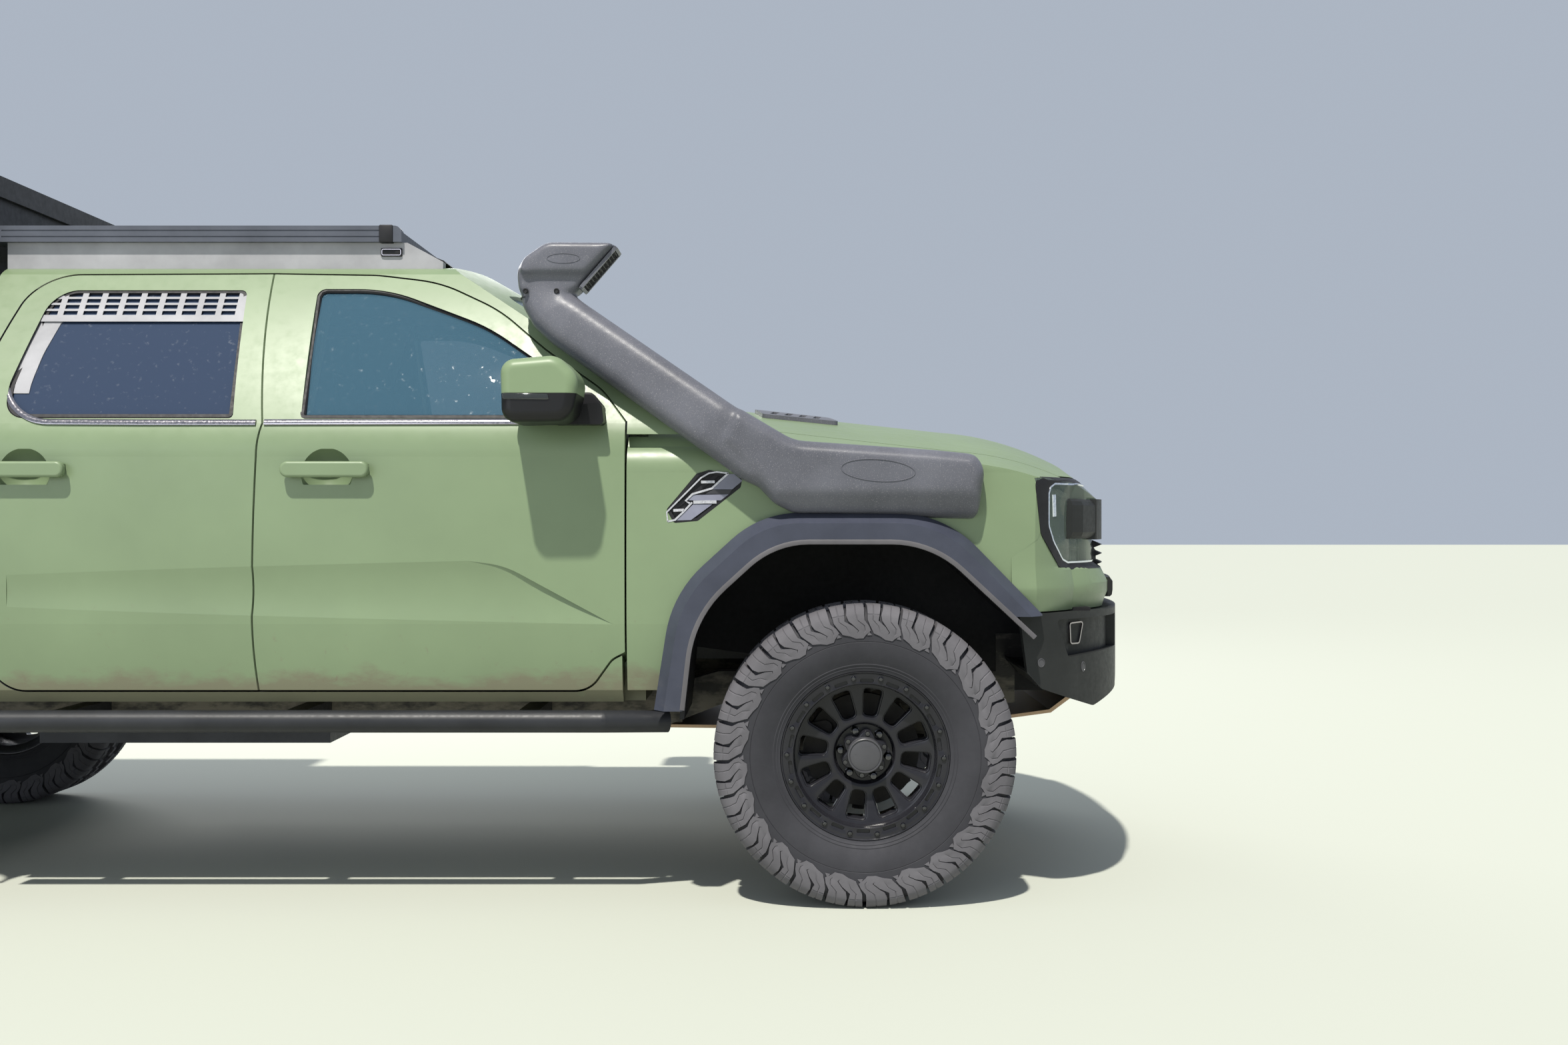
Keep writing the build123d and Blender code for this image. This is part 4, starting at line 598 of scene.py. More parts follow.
long_lug = [
    (0.50, 0.72, 0.94, 0), (0.50, 0.72, 0.945, 2.5), (0.49, 0.72, 0.95, 2.5), (0.48, 0.72, 0.955, 2.5),
    (0.46, 0.725, 0.955, 2.5), (0.455, 0.73, 0.955, 2.5), (0.46, 0.735, 0.955, 2.5), (0.50, 0.76, 0.965, 2.5),
    (0.655, 0.96, 1.095, 2.5), (0.79, 0.99, 1.16, 2), (0.72, 0.94, 1.08, 0), (0.78, 0.90, 0.99, 0),
    (0.80, 0.86, 0.925, 0),
]
cross_sipe_station = 5
cross_sipe_depth = 2.5
joined_from = 10
sipe_half = 0.022
wall_radius = 392
shoulder_height = 40
other_side_turn = 7.5
side_triangle = ((0.10, 361), (0.215, 349), (0.055, 348))
centre_rows = [
    # middle across the tread, half width, shift along the tread in pitches
    (57, 20, 0.25), (19, 15, 0.62),
]
centre_outline = [
    # along in pitches, across in half widths
    (-0.17, -1), (-0.05, -1), (0.01, -0.45), (0.18, -0.55), (0.17, 1), (0.04, 1), (-0.02, 0.5), (-0.19, 0.55),
]


def pitch_angles():
    """Start of each unit and its size in degrees; real treads mix pitch lengths against noise."""
    sizes = [pitch_pattern[index % len(pitch_pattern)] for index in range(pitches)]
    scale = 360 / sum(sizes)
    starts, angle = [], 0
    for size in sizes:
        starts.append((angle, size * scale))
        angle += size * scale
    return starts


def lug(rows, start, size, crossed, wall_left_to, wall_right_to):
    """One lug that wraps from the tread down the sidewall, cut by a sipe."""
    face_loops, root_loops = [], []
    for station, (left, sipe, right, depth) in enumerate(rows):
        across, radius, root_across, root_radius = lug_stations[station]
        sunk = cross_sipe_depth if crossed and station == cross_sipe_station else 0
        shares = (left, sipe - sipe_half, sipe, sipe + sipe_half, right)
        loop = []
        for column, share in enumerate(shares):
            drop = max(sunk, depth if column == 2 else 0)
            flatness = min(1, max(0, (radius - wall_radius) / shoulder_height))
            loop.append(polar(radius - drop * flatness, start + share * size, across - drop * (1 - flatness)))
        face_loops.append(loop)
        root_loops.append([polar(root_radius, start + share * size, root_across) for share in shares])
    shape = skin(face_loops, closed=False)
    for column, last in ((0, wall_left_to), (4, wall_right_to)):
        wall = [[face_loops[row][column], root_loops[row][column]] for row in range(last)]
        shape.join(skin(wall, closed=False))
    for row in (0, len(rows) - 1):
        shape.join(skin([face_loops[row], root_loops[row]], closed=False))
    return shape


def centre_block(across, half_width, start, size, shift):
    loops = []
    for radius, grow in ((421, 1.08), (435, 1), (436, 0.95)):
        loops.append([polar(radius, start + (shift + along * grow) * size, across + wide * half_width * grow)
                      for along, wide in centre_outline])
    return skin(loops, cap_end=True)


def tyre_side():
    side = lathe(carcass_rows, wheel_steps, mark=1)
    for start, size in pitch_angles():
        side.join(lug(short_lug, start, size, True, len(short_lug), joined_from))
        side.join(lug(long_lug, start, size, False, joined_from, len(long_lug)))
        side.join(skin([[polar(radius, start + share * size, across) for share, radius in side_triangle]
                        for across in (152, 156)], cap_end=True))
        for across, half_width, shift in centre_rows:
            side.join(centre_block(across, half_width, start, size, shift))
    return side


tyre_shape = tyre_side()
tyre_shape.join(tyre_side().mirrored(), move=Matrix.Rotation(radians(other_side_turn), 4, "Y"))

# Rim, its face towards +Y
window_count = 12
window_turn = 8
window_back = 40
bolt_count = 18
bolt_turn = -8.7
bolt_circle = 225
nut_circle = 69.85
nut_turn = -22
ring_face = 131
# inner and outer radius, half its width at each, radius of its corners, points to a corner and to a side
window_hole = (106, 192, 22, 31.5, 17, 3, 6)
slot_hole = (210.5, 221, 19, 19, 4.5, 2, 4)
# how far the outline grows, depth below the face
window_depths = [(3, 0), (1, 0.7), (0, 2.6), (0, 12), (-2.6, 13), (-3.6, 15)]
slot_depths = [(1.4, 0), (0.4, 0.5), (0, 1.6), (-0.6, 7)]


def spoke_face(radius):
    """How far out the spokes' surface lies at a radius."""
    return 79 + 12 * ((radius - 96) / 100) ** 1.6


def rounded(corners, corner_radius, per_corner, per_side):
    """Outline that starts at the middle of its first corner, with as many points on every side."""
    sides = []
    for index, here in enumerate(corners):
        here, before, after = (Vector(corners[(index + step) % len(corners)]) for step in (0, -1, 1))
        sides.append((here + (before - here).normalized() * corner_radius, here,
                      here + (after - here).normalized() * corner_radius))

    def bend(side, t):
        start, here, end = side
        return start * (1 - t) ** 2 + here * 2 * t * (1 - t) + end * t * t

    points = []
    for index, side in enumerate(sides):
        following = sides[(index + 1) % len(sides)]
        points += [bend(side, 0.5 + 0.5 * step / per_corner) for step in range(per_corner)]
        points += [side[2].lerp(following[0], step / per_side) for step in range(per_side)]
        points += [bend(following, 0.5 * step / per_corner) for step in range(per_corner)]
    return points


def hole_edge(hole, grow):
    """Radius and angle round a hole in the rim, grown on all sides."""
    inner, outer, inner_half, outer_half, corner, per_corner, per_side = hole
    corners = [(inner - grow, -inner_half - grow), (outer + grow, -outer_half - grow),
               (outer + grow, outer_half + grow), (inner - grow, inner_half + grow)]
    return [(point.length, atan2(point.y, point.x) * 180 / pi)
            for point in rounded(corners, corner + grow, per_corner, per_side)]


def sector_edge(inner, outer, half_angle, per_side):
    """The same number of points round a sector, as radius and angle, starting at its inner left corner."""
    corners = [(inner, -half_angle), (outer, -half_angle), (outer, half_angle), (inner, half_angle)]
    points = []
    for index, (radius, angle) in enumerate(corners):
        next_radius, next_angle = corners[(index + 1) % 4]
        for step in range(per_side):
            t = step / per_side
            points.append((radius + (next_radius - radius) * t, angle + (next_angle - angle) * t))
    return points


def sector(edge, hole, depths, face, turn):
    """Loops of a piece of the rim's face, from its edge down into the hole in it."""
    loops = [[polar(radius, angle + turn, face(radius)) for radius, angle in edge]]
    for grow, depth in depths:
        loops.append([polar(radius, angle + turn, face(radius) - depth)
                      for radius, angle in hole_edge(hole, grow)])
    return loops


def window_sector(turn):
    edge = sector_edge(97, 198, 15, 12)
    loops = sector(edge, window_hole, window_depths, spoke_face, turn)
    for line in (hole_edge(window_hole, -5), edge):
        loops.append([polar(radius, angle + turn, window_back) for radius, angle in line])
    return skin(loops)


def slot_sector(turn):
    edge = sector_edge(208.5, 237, 10, 8)
    return skin(sector(edge, slot_hole, slot_depths, lambda radius: ring_face, turn), cap_end=True)


def cap_housing():
    """Scalloped housing between the wheel nuts, with a turned collar and a blank cap."""
    loops = []
    for across, lobe, waist in ((50, 70, 52), (92, 70, 52), (96, 67.5, 50), (97, 63, 48), (97, 52, 46.5)):
        loop = []
        for step in range(72):
            angle = 360 * step / 72
            wave = 0.5 + 0.5 * cos(radians(6 * (angle - nut_turn - 30)))
            loop.append(polar(waist + (lobe - waist) * wave ** 0.7, angle, across))
        loops.append(loop)
    shape = skin(loops)
    collar = [(96, 51), (124, 50.5), (128.5, 49.5), (130, 47.5), (129.4, 45.5), (126.6, 44.6), (126.2, 43.6),
              (127.4, 42.6), (128.6, 38), (129.4, 26), (129.8, 12)]
    shape.join(lathe(collar, 48, mark=1, cap_end=True))
    for index in range(6):
        angle = nut_turn + 30 + 60 * index
        shape.join(post(60.7, angle, [(96, 7), (99, 7), (100.4, 6), (100.4, 3.4), (98, 3)], 10, mark=2))
    return shape


def rim_shape():
    shape = lathe([(spoke_face(198), 198), (92.6, 201.5), (96.5, 204), (104, 205.4), (127, 206.2),
                   (130.2, 207), (ring_face, 208.5)], wheel_steps)
    shape.join(lathe([(ring_face, 237), (132.4, 238.2), (134, 240), (134.2, 242), (132.6, 243.4),
                      (127, 243.4), (125.6, 241), (119, 224), (117, 221.7), (-117, 221.7), (-119, 240),
                      (-126, 241.5), (-126, 238), (-112, 209.7), (window_back, 209.7), (window_back, 198)],
                     wheel_steps))
    shape.join(lathe([(spoke_face(97), 97), (78.6, 93), (77, 89.4), (73, 87.2), (52, 84), (50, 82), (50, 30)],
                     wheel_steps, cap_end=True))
    shape.join(lathe([(window_back, 97), (20, 84), (2, 80), (2, 40)], wheel_steps))
    for index in range(window_count):
        shape.join(window_sector(window_turn + 360 * index / window_count))
    washer = [(ring_face - 1, 9.6), (ring_face + 0.9, 9.6), (ring_face + 1.3, 8.8)]
    head = [(ring_face, 7.2), (ring_face + 4.2, 7.2), (ring_face + 6, 5.8), (ring_face + 6.3, 3.9),
            (ring_face + 3.8, 3.4)]
    for index in range(bolt_count):
        angle = bolt_turn + 360 * index / bolt_count
        shape.join(slot_sector(angle + 180 / bolt_count))
        shape.join(post(bolt_circle, angle, washer, 16))
        shape.join(post(bolt_circle, angle, head, mark=2))
    for index in range(6):
        nut = [(50, 12.4), (54, 12.4), (55, 10.6), (80, 10.4), (83.5, 8.8), (84.4, 5)]
        shape.join(post(nut_circle, nut_turn + 60 * index, nut, mark=2))
    return shape.join(cap_housing())


# Wheels: one tyre mesh and one rim mesh, turned to face outwards on each side
tyre_mesh = tyre_shape.mesh("tyre", "tread_rubber tyre_rubber")
rim_mesh = rim_shape().mesh("rim", "rim_black cap_satin dark_chrome")
for side_name, sign, turn in (("left", 1, 0), ("right", -1, pi)):
    for axle_name in ("front", "rear"):
        wheel = f"{axle_name}_{side_name}"
        hub_x, hub_z = hub_of(wheel)
        for kind, mesh, slot, smooth in (("tyre", tyre_mesh, "tyre", 30), ("rim", rim_mesh, "rim_black", 32)):
            dressed = place(f"dressed_{kind}_{wheel}", mesh, slot, f"wheel_{wheel}", smooth,
                            location=(hub_x, sign * wheel_y, hub_z), turn=turn)
            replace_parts(dressed, f"{kind}_{wheel}")


# Window seals and belt trim, on the greenhouse's leaning sides

belt_z = 1383
belt_half = 925
rail_z = 1857
rail_half = 640
side_slope = (belt_half - rail_half) / (rail_z - belt_z)
lean_out = Vector((0, -1, side_slope)).normalized()
front_door = "front_door_{}_body"
rear_door = "rear_door_{}_body"


def on_lean(x, z, out):
    """Point on the right side of the greenhouse, with its outward direction."""
    return at(x, -(belt_half - (z - belt_z) * side_slope), z) + lean_out * (out * MM), lean_out


seal_profile = [(-7, -11), (7, -11), (7, -3), (3, 1.2), (-7, 1.6)]
for name, body, inward, rows in (
    ("front_seal", front_door, -4.5, [
        (-1638, 1398, 12), (-1655, 1807, 25), (-1440, 1807, 500), (-1120, 1682, 600), (-960, 1572, 300),
        (-792, 1440, 20), (-800, 1398, 12)]),
    ("rear_seal", rear_door, 4.5, [
        (-1836, 1398, 12), (-1870, 1803, 20), (-2455, 1803, 90), (-2510, 1500, 120), (-2500, 1398, 60)]),
):
    path = [on_lean(point.x, point.y, 2) for point in moved_left(cornered(rows), inward)]
    both_sides(name, strip(path, seal_profile, closed=True), "rubber_seal", body=body)

trim_profile = [(-9, -3), (9, -3), (9.5, 0.5), (5, 4), (-3, 4.6), (-9.5, 1.5)]
for name, body, rows in (
    ("front_belt_trim", front_door, [(-1742, 1384), (-1300, 1385), (-770, 1386)]),
    ("rear_belt_trim", rear_door, [(-1766, 1384), (-2100, 1384), (-2440, 1386, 160), (-2540, 1500, 160),
                                   (-2524, 1600)]),
):
    # The belt trim's light pinkish metal is a painted reflection of the sky on glossy black trim.
    path = [on_lean(point.x, point.y, 3.5) for point in cornered(rows, closed=False)]
    both_sides(name, strip(path, trim_profile), "belt_trim_painted_reflection", "metal_grey", body, smooth=50)

# White upright sheet along the rear window's rear edge, a painted reflection: it stands for the sky's
# reflection on the glossy black trim there
rear_pane = tree_of(nodes["rear_glass_right"].data)
reflection_line = cornered([(-2478, 1404), (-2482, 1500, 300), (-2468, 1600, 300), (-2438, 1712)], False, 30)
reflection_places = only_found(laid(rear_pane, at(point.x, -1400, point.y), at(point.x, 0, point.y), 2)
                          for point in reflection_line)
both_sides("rear_edge_painted_reflection", strip([(point, lean_out) for point, _ in reflection_places], bar(30, -2, 30, 1)),
           "white_powder_coat_and_painted_reflection", "metal_grey", rear_door)

# Door mirrors: indicator strip, glass and a foot plate on the window's front corner
indicator = prism(cornered([(-1008, 1436, 3), (-880, 1434, 4), (-884, 1450, 4), (-1010, 1452, 3)], step=2),
                  [(-1164, 0), (-1172.5, 0), (-1173.5, 1.5)])
both_sides("mirror_indicator", indicator, "indicator_lens", "lamp", front_door)
both_sides("mirror_pane", box_shape((-1012, -1142, 1396), (-1007, -992, 1524)), "mirror_glass", "metal_grey",
           front_door, bevel=0.002)
foot_rows = [(-862, 1392, 10), (-757, 1392, 14), (-752, 1428, 20), (-792, 1474, 20), (-830, 1474, 16)]
foot_y = on_lean(0, 1430, 0)[0].y / MM
foot = prism(cornered(foot_rows, step=6), [(foot_y + 12, 0), (foot_y - 14, 0), (foot_y - 19, 6)])
both_sides("mirror_foot", foot, "rubber_seal", body=front_door)


# Headlamps: the lens draws back towards its inner edge, with a border, a bead and the bar's boxed end

def between(rows, value):
    """Value on a broken line of rows."""
    if value <= rows[0][0]:
        return rows[0][1]
    for (low, at_low), (high, at_high) in zip(rows, rows[1:]):
        if value <= high:
            return at_low + (at_high - at_low) * (value - low) / (high - low)
    return rows[-1][1]


corner_x = 430
corner_y = 500


def nose_way(x, y):
    """Level outward direction round the nose's corner, from plain sideways to plain forwards."""
    aside = max(0, abs(y) - corner_y)
    way = Vector((max(0, x - corner_x), aside * (1 if y > 0 else -1)))
    return way.normalized() if way.length > 1 else Vector((0, 0))


def pushed(node_name, look, heights, front_push, side_push):
    """Copy of a node's mesh, cut at heights and pushed out round the corner by rows of height and push."""
    work = bmesh.new()
    work.from_mesh(nodes[node_name].data)
    bmesh.ops.remove_doubles(work, verts=work.verts, dist=weld)
    for z in heights:
        bmesh.ops.bisect_plane(work, geom=work.verts[:] + work.edges[:] + work.faces[:], dist=weld / 2,
                               plane_co=(0, 0, ground + z * MM), plane_no=(0, 0, 1))
    for vertex in work.verts:
        x, y, z = in_mm(vertex.co)
        way = nose_way(x, y)
        push = way.x ** 2 * between(front_push, z) + way.y ** 2 * between(side_push, z)
        vertex.co.x += way.x * push * MM
        vertex.co.y += way.y * push * MM
    made = bpy.data.meshes.new(node_name + "_formed")
    work.to_mesh(made)
    work.free()
    return dress(made, look)


lens_mesh = pushed("headlamps", "lamp_lens", (1000, 1040, 1080, 1120, 1160, 1200),
                   [(950, -27), (1110, -27), (1216, 0)], [(950, 0)])
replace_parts(place("lamp_lens", lens_mesh, "lamp", smooth=25), "headlamps")
nose_skin = tree_of(lens_mesh, nodes["fenders"].data, nodes["upper_bumper"].data)
lamp_reach = 900
lamp_inner_edge = 562


def lamp_point(turn, z, out):
    """Nose skin met by a level ray towards the corner's middle, from the side at 0 and from ahead at 90."""
    far = radians(turn)
    start = at(corner_x + lamp_reach * sin(far), -corner_y - lamp_reach * cos(far), z)
    return laid(nose_skin, start, at(corner_x, -corner_y, z), out)


def lamp_turn(z, reached):
    """Turns just before and after reached(point) becomes true; a miss counts as reached past 45 degrees."""
    low = 0
    high = 100
    for _ in range(14):
        middle = (low + high) / 2
        found = lamp_point(middle, z, 0)
        if middle > 45 if found is None else reached(*in_mm(found[0])):
            high = middle
        else:
            low = middle
    return low, high


def rear_turn(z, rows):
    return lamp_turn(z, lambda x, y, height: x > between(rows, z))[1]


def inner_turn(z, inward):
    return lamp_turn(z, lambda x, y, height: y > -(lamp_inner_edge + inward))[0]


def lamp_line(rows, inward):
    """Turns and heights from the top's inner end, along the rear edge, to the bottom's inner end."""
    low_z, high_z = rows[0][0], rows[-1][0]
    top = steps(inner_turn(high_z, inward), rear_turn(high_z, rows), 12)
    bottom = steps(rear_turn(low_z, rows), inner_turn(low_z, inward), 12)
    edge = [(rear_turn(z, rows), z) for z in steps(high_z, low_z, 24)]
    return [(turn, high_z) for turn in top[:-1]] + edge + [(turn, low_z) for turn in bottom[1:]]


def lamp_band(outer, inner, rise):
    """Raised band between two lines on the nose's skin."""
    loops = []
    for start, end in zip(outer, inner):
        found = []
        for share, out in ((0, -2), (0, rise * 0.6), (0.5, rise), (1, rise * 0.6), (1, -2)):
            turn, z = ((1 - share) * first + share * last for first, last in zip(start, end))
            found.append(lamp_point(turn, z, out))
        if all(found):
            loops.append([point for point, _ in found])
    return skin(loops, cap_start=True, cap_end=True)


# Height and x of the border's outer line and of the bead, along the rear edge
outer_line = lamp_line([(955, 598), (966, 572), (1062, 510), (1200, 493), (1218, 496), (1226, 508)], -4)
bead_rows = [(976, 606), (986, 585), (1040, 552), (1086, 536), (1180, 536), (1200, 543), (1208, 556)]
bead_line = lamp_line(bead_rows, 0)
both_sides("lamp_border", lamp_band(outer_line, bead_line, 3), "deep_black", smooth=40)
bead_path = only_found(lamp_point(turn, z, 1) for turn, z in bead_line)
both_sides("lamp_bead", strip(bead_path, bar(3.4, -2, 2.6, 2.4)), "lamp_bead", "lamp", smooth=40)
reflector_path = [lamp_point(rear_turn(z, [(0, x)]), z, 0.6) for z, x in ((1112, 558), (1176, 556))]
both_sides("lamp_reflector", strip(reflector_path, bar(9, -1, 8, 0.8)), "lamp_bead", "lamp", smooth=40)

# Boxed end of the grille's bar, in three flat facets round the corner
box_z = 1105
box_turns = [rear_turn(box_z, [(0, x)]) for x in (604, 610, 640)]
box_turns += steps(box_turns[-1], inner_turn(box_z, 0), 2)[1:]
box_loops = []
for turn, grow in zip(box_turns, (2, 15, 26, 26, 22)):
    near, outward = lamp_point(turn, box_z, 0)
    box_loops.append([Vector((near.x, near.y, at(0, 0, z).z)) + outward * (out * MM) for z, out in (
        (1046, -8), (1046, grow * 0.3), (1053, grow * 0.75), (1066, grow), (1146, grow), (1158, grow * 0.75),
        (1165, grow * 0.3), (1165, -8))])
both_sides("grille_box", skin(box_loops, cap_start=True, cap_end=True), "bumper_plastic", smooth=12)


# Fender vent: silver edges and flat facets over its dark slatted back, on a grid of their own

vent_cell = 1.9256 / 11.2
vent_x = -591.1616
vent_top = 1275.676


def vent_place(across, down):
    """Place on the vent's grid, in millimetres."""
    return Vector((vent_x + across * vent_cell, vent_top - down * vent_cell))


vent_face = -945.5
edge_rise = 6
facet_rise = 4.1
vent_edges = Shape()
for half, rows in (
    (2.6, [(130, 1035), (112, 880), (400, 590), (690, 300), (820, 225), (950, 203), (1150, 226)]),
    (3.4, [(1150, 226), (1010, 350), (870, 480), (700, 530), (545, 575), (430, 690), (500, 728)]),
    (3.2, [(540, 715), (400, 868), (250, 1010), (130, 1035)]),
    (5.4, [(560, 712), (780, 706), (950, 708)]),
    (4.6, [(690, 372), (920, 368)]),
    (4.4, [(225, 850), (400, 842)]),
):
    path = side_path([vent_place(*row) for row in rows], vent_face - edge_rise)
    vent_edges.join(strip(path, bar(half, -edge_rise, half * 0.8, 0)))
both_sides("vent_edges", vent_edges, "vent_silver", "metal_grey", smooth=30)
vent_facets = Shape()
# The second look, on the facets marked 1, is painted shade: a dark copy of the first on a facet as flat as
# the rest
for mark, rows in (
    (0, [(1160, 240), (1245, 235), (1385, 350), (1215, 495), (880, 495)]),
    (1, [(880, 500), (1210, 500), (1160, 572), (760, 572)]),
    (0, [(560, 590), (1155, 577), (1020, 680), (470, 680)]),
    (0, [(560, 745), (880, 745), (520, 1010), (270, 1018)]),
):
    facet = prism([vent_place(*row) for row in rows], [(vent_face, 0), (vent_face - facet_rise, 0)], mark)
    vent_facets.join(facet)
both_sides("vent_facets", vent_facets, "vent_facet vent_shade", "metal_grey")

# Liner plates inside the bed close the arch openings round the wheel houses
tub_half = 886
liner_centre = 760
liner_lines = [cornered(rows, closed=False, step=4) for rows in (
    [(-515, 600), (-435, 1015, 300), (435, 1015, 300), (515, 600)],
    [(-560, 600), (-530, 850, 330), (-270, 1096, 260), (270, 1096, 260), (530, 850, 330), (560, 600)])]
liner_loops = []
for turn in steps(10.5, 169.5, 63):
    inner, outer = (min(line, key=lambda point: abs(atan2(point.y - liner_centre, point.x) - radians(turn)))
                    for line in liner_lines)
    liner_loops.append([at(rear_axle + point.x, y - tub_half, point.y)
                        for point, y in ((inner, -0.5), (outer, -0.5), (outer, 6), (inner, 6))])
both_sides("bed_arch_liner", skin(liner_loops, cap_start=True, cap_end=True), "bed_liner")


# Snorkel: body, tube and head melt into one soft moulding

def duct_loop(middle, along, wide, deep):
    """Rounded rectangle across a duct; wide lies up the duct's side face and deep runs across the vehicle."""
    along = Vector(along).normalized()
    across = Vector((0, 1, 0))
    across = (across - along * across.dot(along)).normalized()
    up = along.cross(across)
    radius = min(wide, deep) * 0.42
    loop = []
    for sign_a, sign_u, first in ((1, 1, 0), (-1, 1, 90), (-1, -1, 180), (1, -1, 270)):
        for part in range(5):
            turn = radians(first + 90 * part / 4)
            a = sign_a * (deep / 2 - radius) + radius * cos(turn)
            u = sign_u * (wide / 2 - radius) + radius * sin(turn)
            loop.append(at(*middle) + (across * a + up * u) * MM)
    return loop


body_outline = cornered([
    (-262, 1150, 50), (-205, 1122, 40), (250, 1106, 50), (322, 1100, 24), (343, 1245, 50), (318, 1291, 34),
    (200, 1303, 60), (-205, 1331, 120), (-372, 1430, 20), (-430, 1330, 30),
])
body_rows = [
    # y, how far the outline is drawn in there, and the lowest height it reaches
    (-922, 0, 1100), (-960, 0, 1106), (-990, 0, 1122), (-1010, 5, 1146), (-1025, 14, 1166), (-1033, 23, 1182),
    (-1036, 32, 1192),
]
tube_along = (-316, 0, 235)
tube = [duct_loop(*row) for row in (
    ((-236, -984, 1232), tube_along, 120, 70), ((-296, -983, 1278), tube_along, 163, 98),
    ((-440, -972, 1378), tube_along, 158, 106), ((-872, -846, 1684), tube_along, 152, 116),
    ((-908, -832, 1716), (-0.55, 0.05, 0.8), 154, 120), ((-930, -818, 1748), (-0.18, 0.1, 1), 157, 124),
    ((-935, -811, 1790), (0.1, 0, 1), 158, 124))]
head_outline = cornered([(-1014, 1764, 20), (-866, 1764, 20), (-842, 1776, 10), (-720, 1917, 8),
                         (-930, 1919, 50), (-1024, 1852, 50)])
wing_outline = cornered([(-1000, 1822, 20), (-816, 1822, 10), (-722, 1917, 8), (-930, 1919, 50),
                         (-1022, 1856, 40)])
soft = prism(body_outline, [(y, inward) for y, inward, _ in body_rows])
for index, point in enumerate(soft.points):
    point.z = max(point.z, ground + body_rows[index // len(body_outline)][2] * MM)
soft.join(skin(tube, cap_start=True, cap_end=True))
soft.join(prism(head_outline, [(-745, 12), (-752, 3), (-766, 0), (-846, 0), (-862, 4), (-872, 14)]))
soft.join(prism(wing_outline, [(-731, 12), (-740, 3), (-754, 0), (-872, 0), (-884, 4), (-892, 14)]))
snorkel_shell = piece("snorkel_shell", soft, "speckled_shell", smooth=0)
modify(snorkel_shell, "REMESH", mode="VOXEL", voxel_size=0.0065, use_smooth_shade=True)
modify(snorkel_shell, "SMOOTH", factor=0.5, iterations=14)
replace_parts(snorkel_shell, "snorkel")

# Slanted mouth with its dark mesh over a near-black plate that is painted shade for the intake behind it, the
# joint line, its screws and the bare oval rings
mouth_y = -809
mouth_low = Vector((-840, 1778))
mouth_high = Vector((-722, 1914))
mouth_length = (mouth_high - mouth_low).length
mouth_up = (mouth_high - mouth_low) / mouth_length
mouth_out = Vector((mouth_up.y, -mouth_up.x))


def on_mouth(across, up, out):
    """Point on the mouth: across from its middle, up its slope from its middle, out of its face."""
    middle = (mouth_low + mouth_high) / 2 + mouth_up * up + mouth_out * out
    return at(middle.x, mouth_y + across, middle.y)


def mouth_bar(start, end, half, depth, mark):
    """Flat bar between two places on the mouth."""
    start, end = Vector(start), Vector(end)
    way = (end - start).normalized()
    side = Vector((-way.y, way.x)) * half
    points = [on_mouth(corner.x, corner.y, out)
              for out in depth for corner in (start + side, start - side, end - side, end + side)]
    faces = [(0, 1, 2, 3), (7, 6, 5, 4)] + [(a, a + 4, (a + 1) % 4 + 4, (a + 1) % 4) for a in range(4)]
    return Shape().add(points, faces, mark)


mouth_half = 58
mouth_rise = mouth_length / 2 - 14
# The plate under the mesh is painted shade: a near-black sheet standing for the dark intake behind the mesh.
mouth = mouth_bar((0, -mouth_rise), (0, mouth_rise), mouth_half, (-2, 2.5), 0)
cell = 15
for row in range(-6, 7):
    for column in range(-5, 6):
        centre = Vector((column * cell, row * cell * 0.866))
        if row % 2:
            centre.x += cell / 2
        if abs(centre.x) > mouth_half - 5 or abs(centre.y) > mouth_rise - 5:
            continue
        for turn in (30, 150, 270):
            reach = Vector((cos(radians(turn)), sin(radians(turn)))) * cell / 1.732
            mouth.join(mouth_bar(centre, centre + reach, 1.6, (2.4, 5), 1))
for rise in (-mouth_rise, mouth_rise):
    mouth.join(mouth_bar((-mouth_half, rise), (mouth_half, rise), 5, (-2, 8), 2))
for across in (-mouth_half, mouth_half):
    mouth.join(mouth_bar((across, -mouth_rise), (across, mouth_rise), 5, (-2, 8), 2))
piece("snorkel_mouth", mouth, "rubber_seal deep_black speckled_shell", smooth=30)

joint = skin([duct_loop((-934, -812, z), (0, 0, 1), 159 + grow, 125 + grow)
              for z, grow in ((1757, -4), (1757, 1.2), (1760, 1.2), (1760, -4))])
for x in (-991, -900):
    joint.join(skin([[at(x + own * right, y, 1774 + own * up) for right, up in circle(14)]
                     for y, own in ((-872, 8), (-879, 8), (-881, 5.8), (-879, 3.6))], cap_end=True))
piece("snorkel_joint", joint, "rubber_seal", smooth=30)


def oval_ring(x, y, z, half_long, half_high, tilt, thick):
    """Thin raised ring on the snorkel's flat outer face."""
    lean = Matrix.Rotation(radians(tilt), 2)
    path = [Vector((x, z)) + lean @ Vector((half_long * right, half_high * up)) for right, up in circle(72)]
    return strip(side_path(path, y), bar(thick, -2, thick * 0.5, 0.8), closed=True)


rings = oval_ring(34, -1037, 1244, 105, 31, -4, 2)
rings.join(oval_ring(-878, -892.6, 1868, 48, 14, 0, 1.6))
piece("snorkel_rings", rings, "speckled_shell", smooth=50)

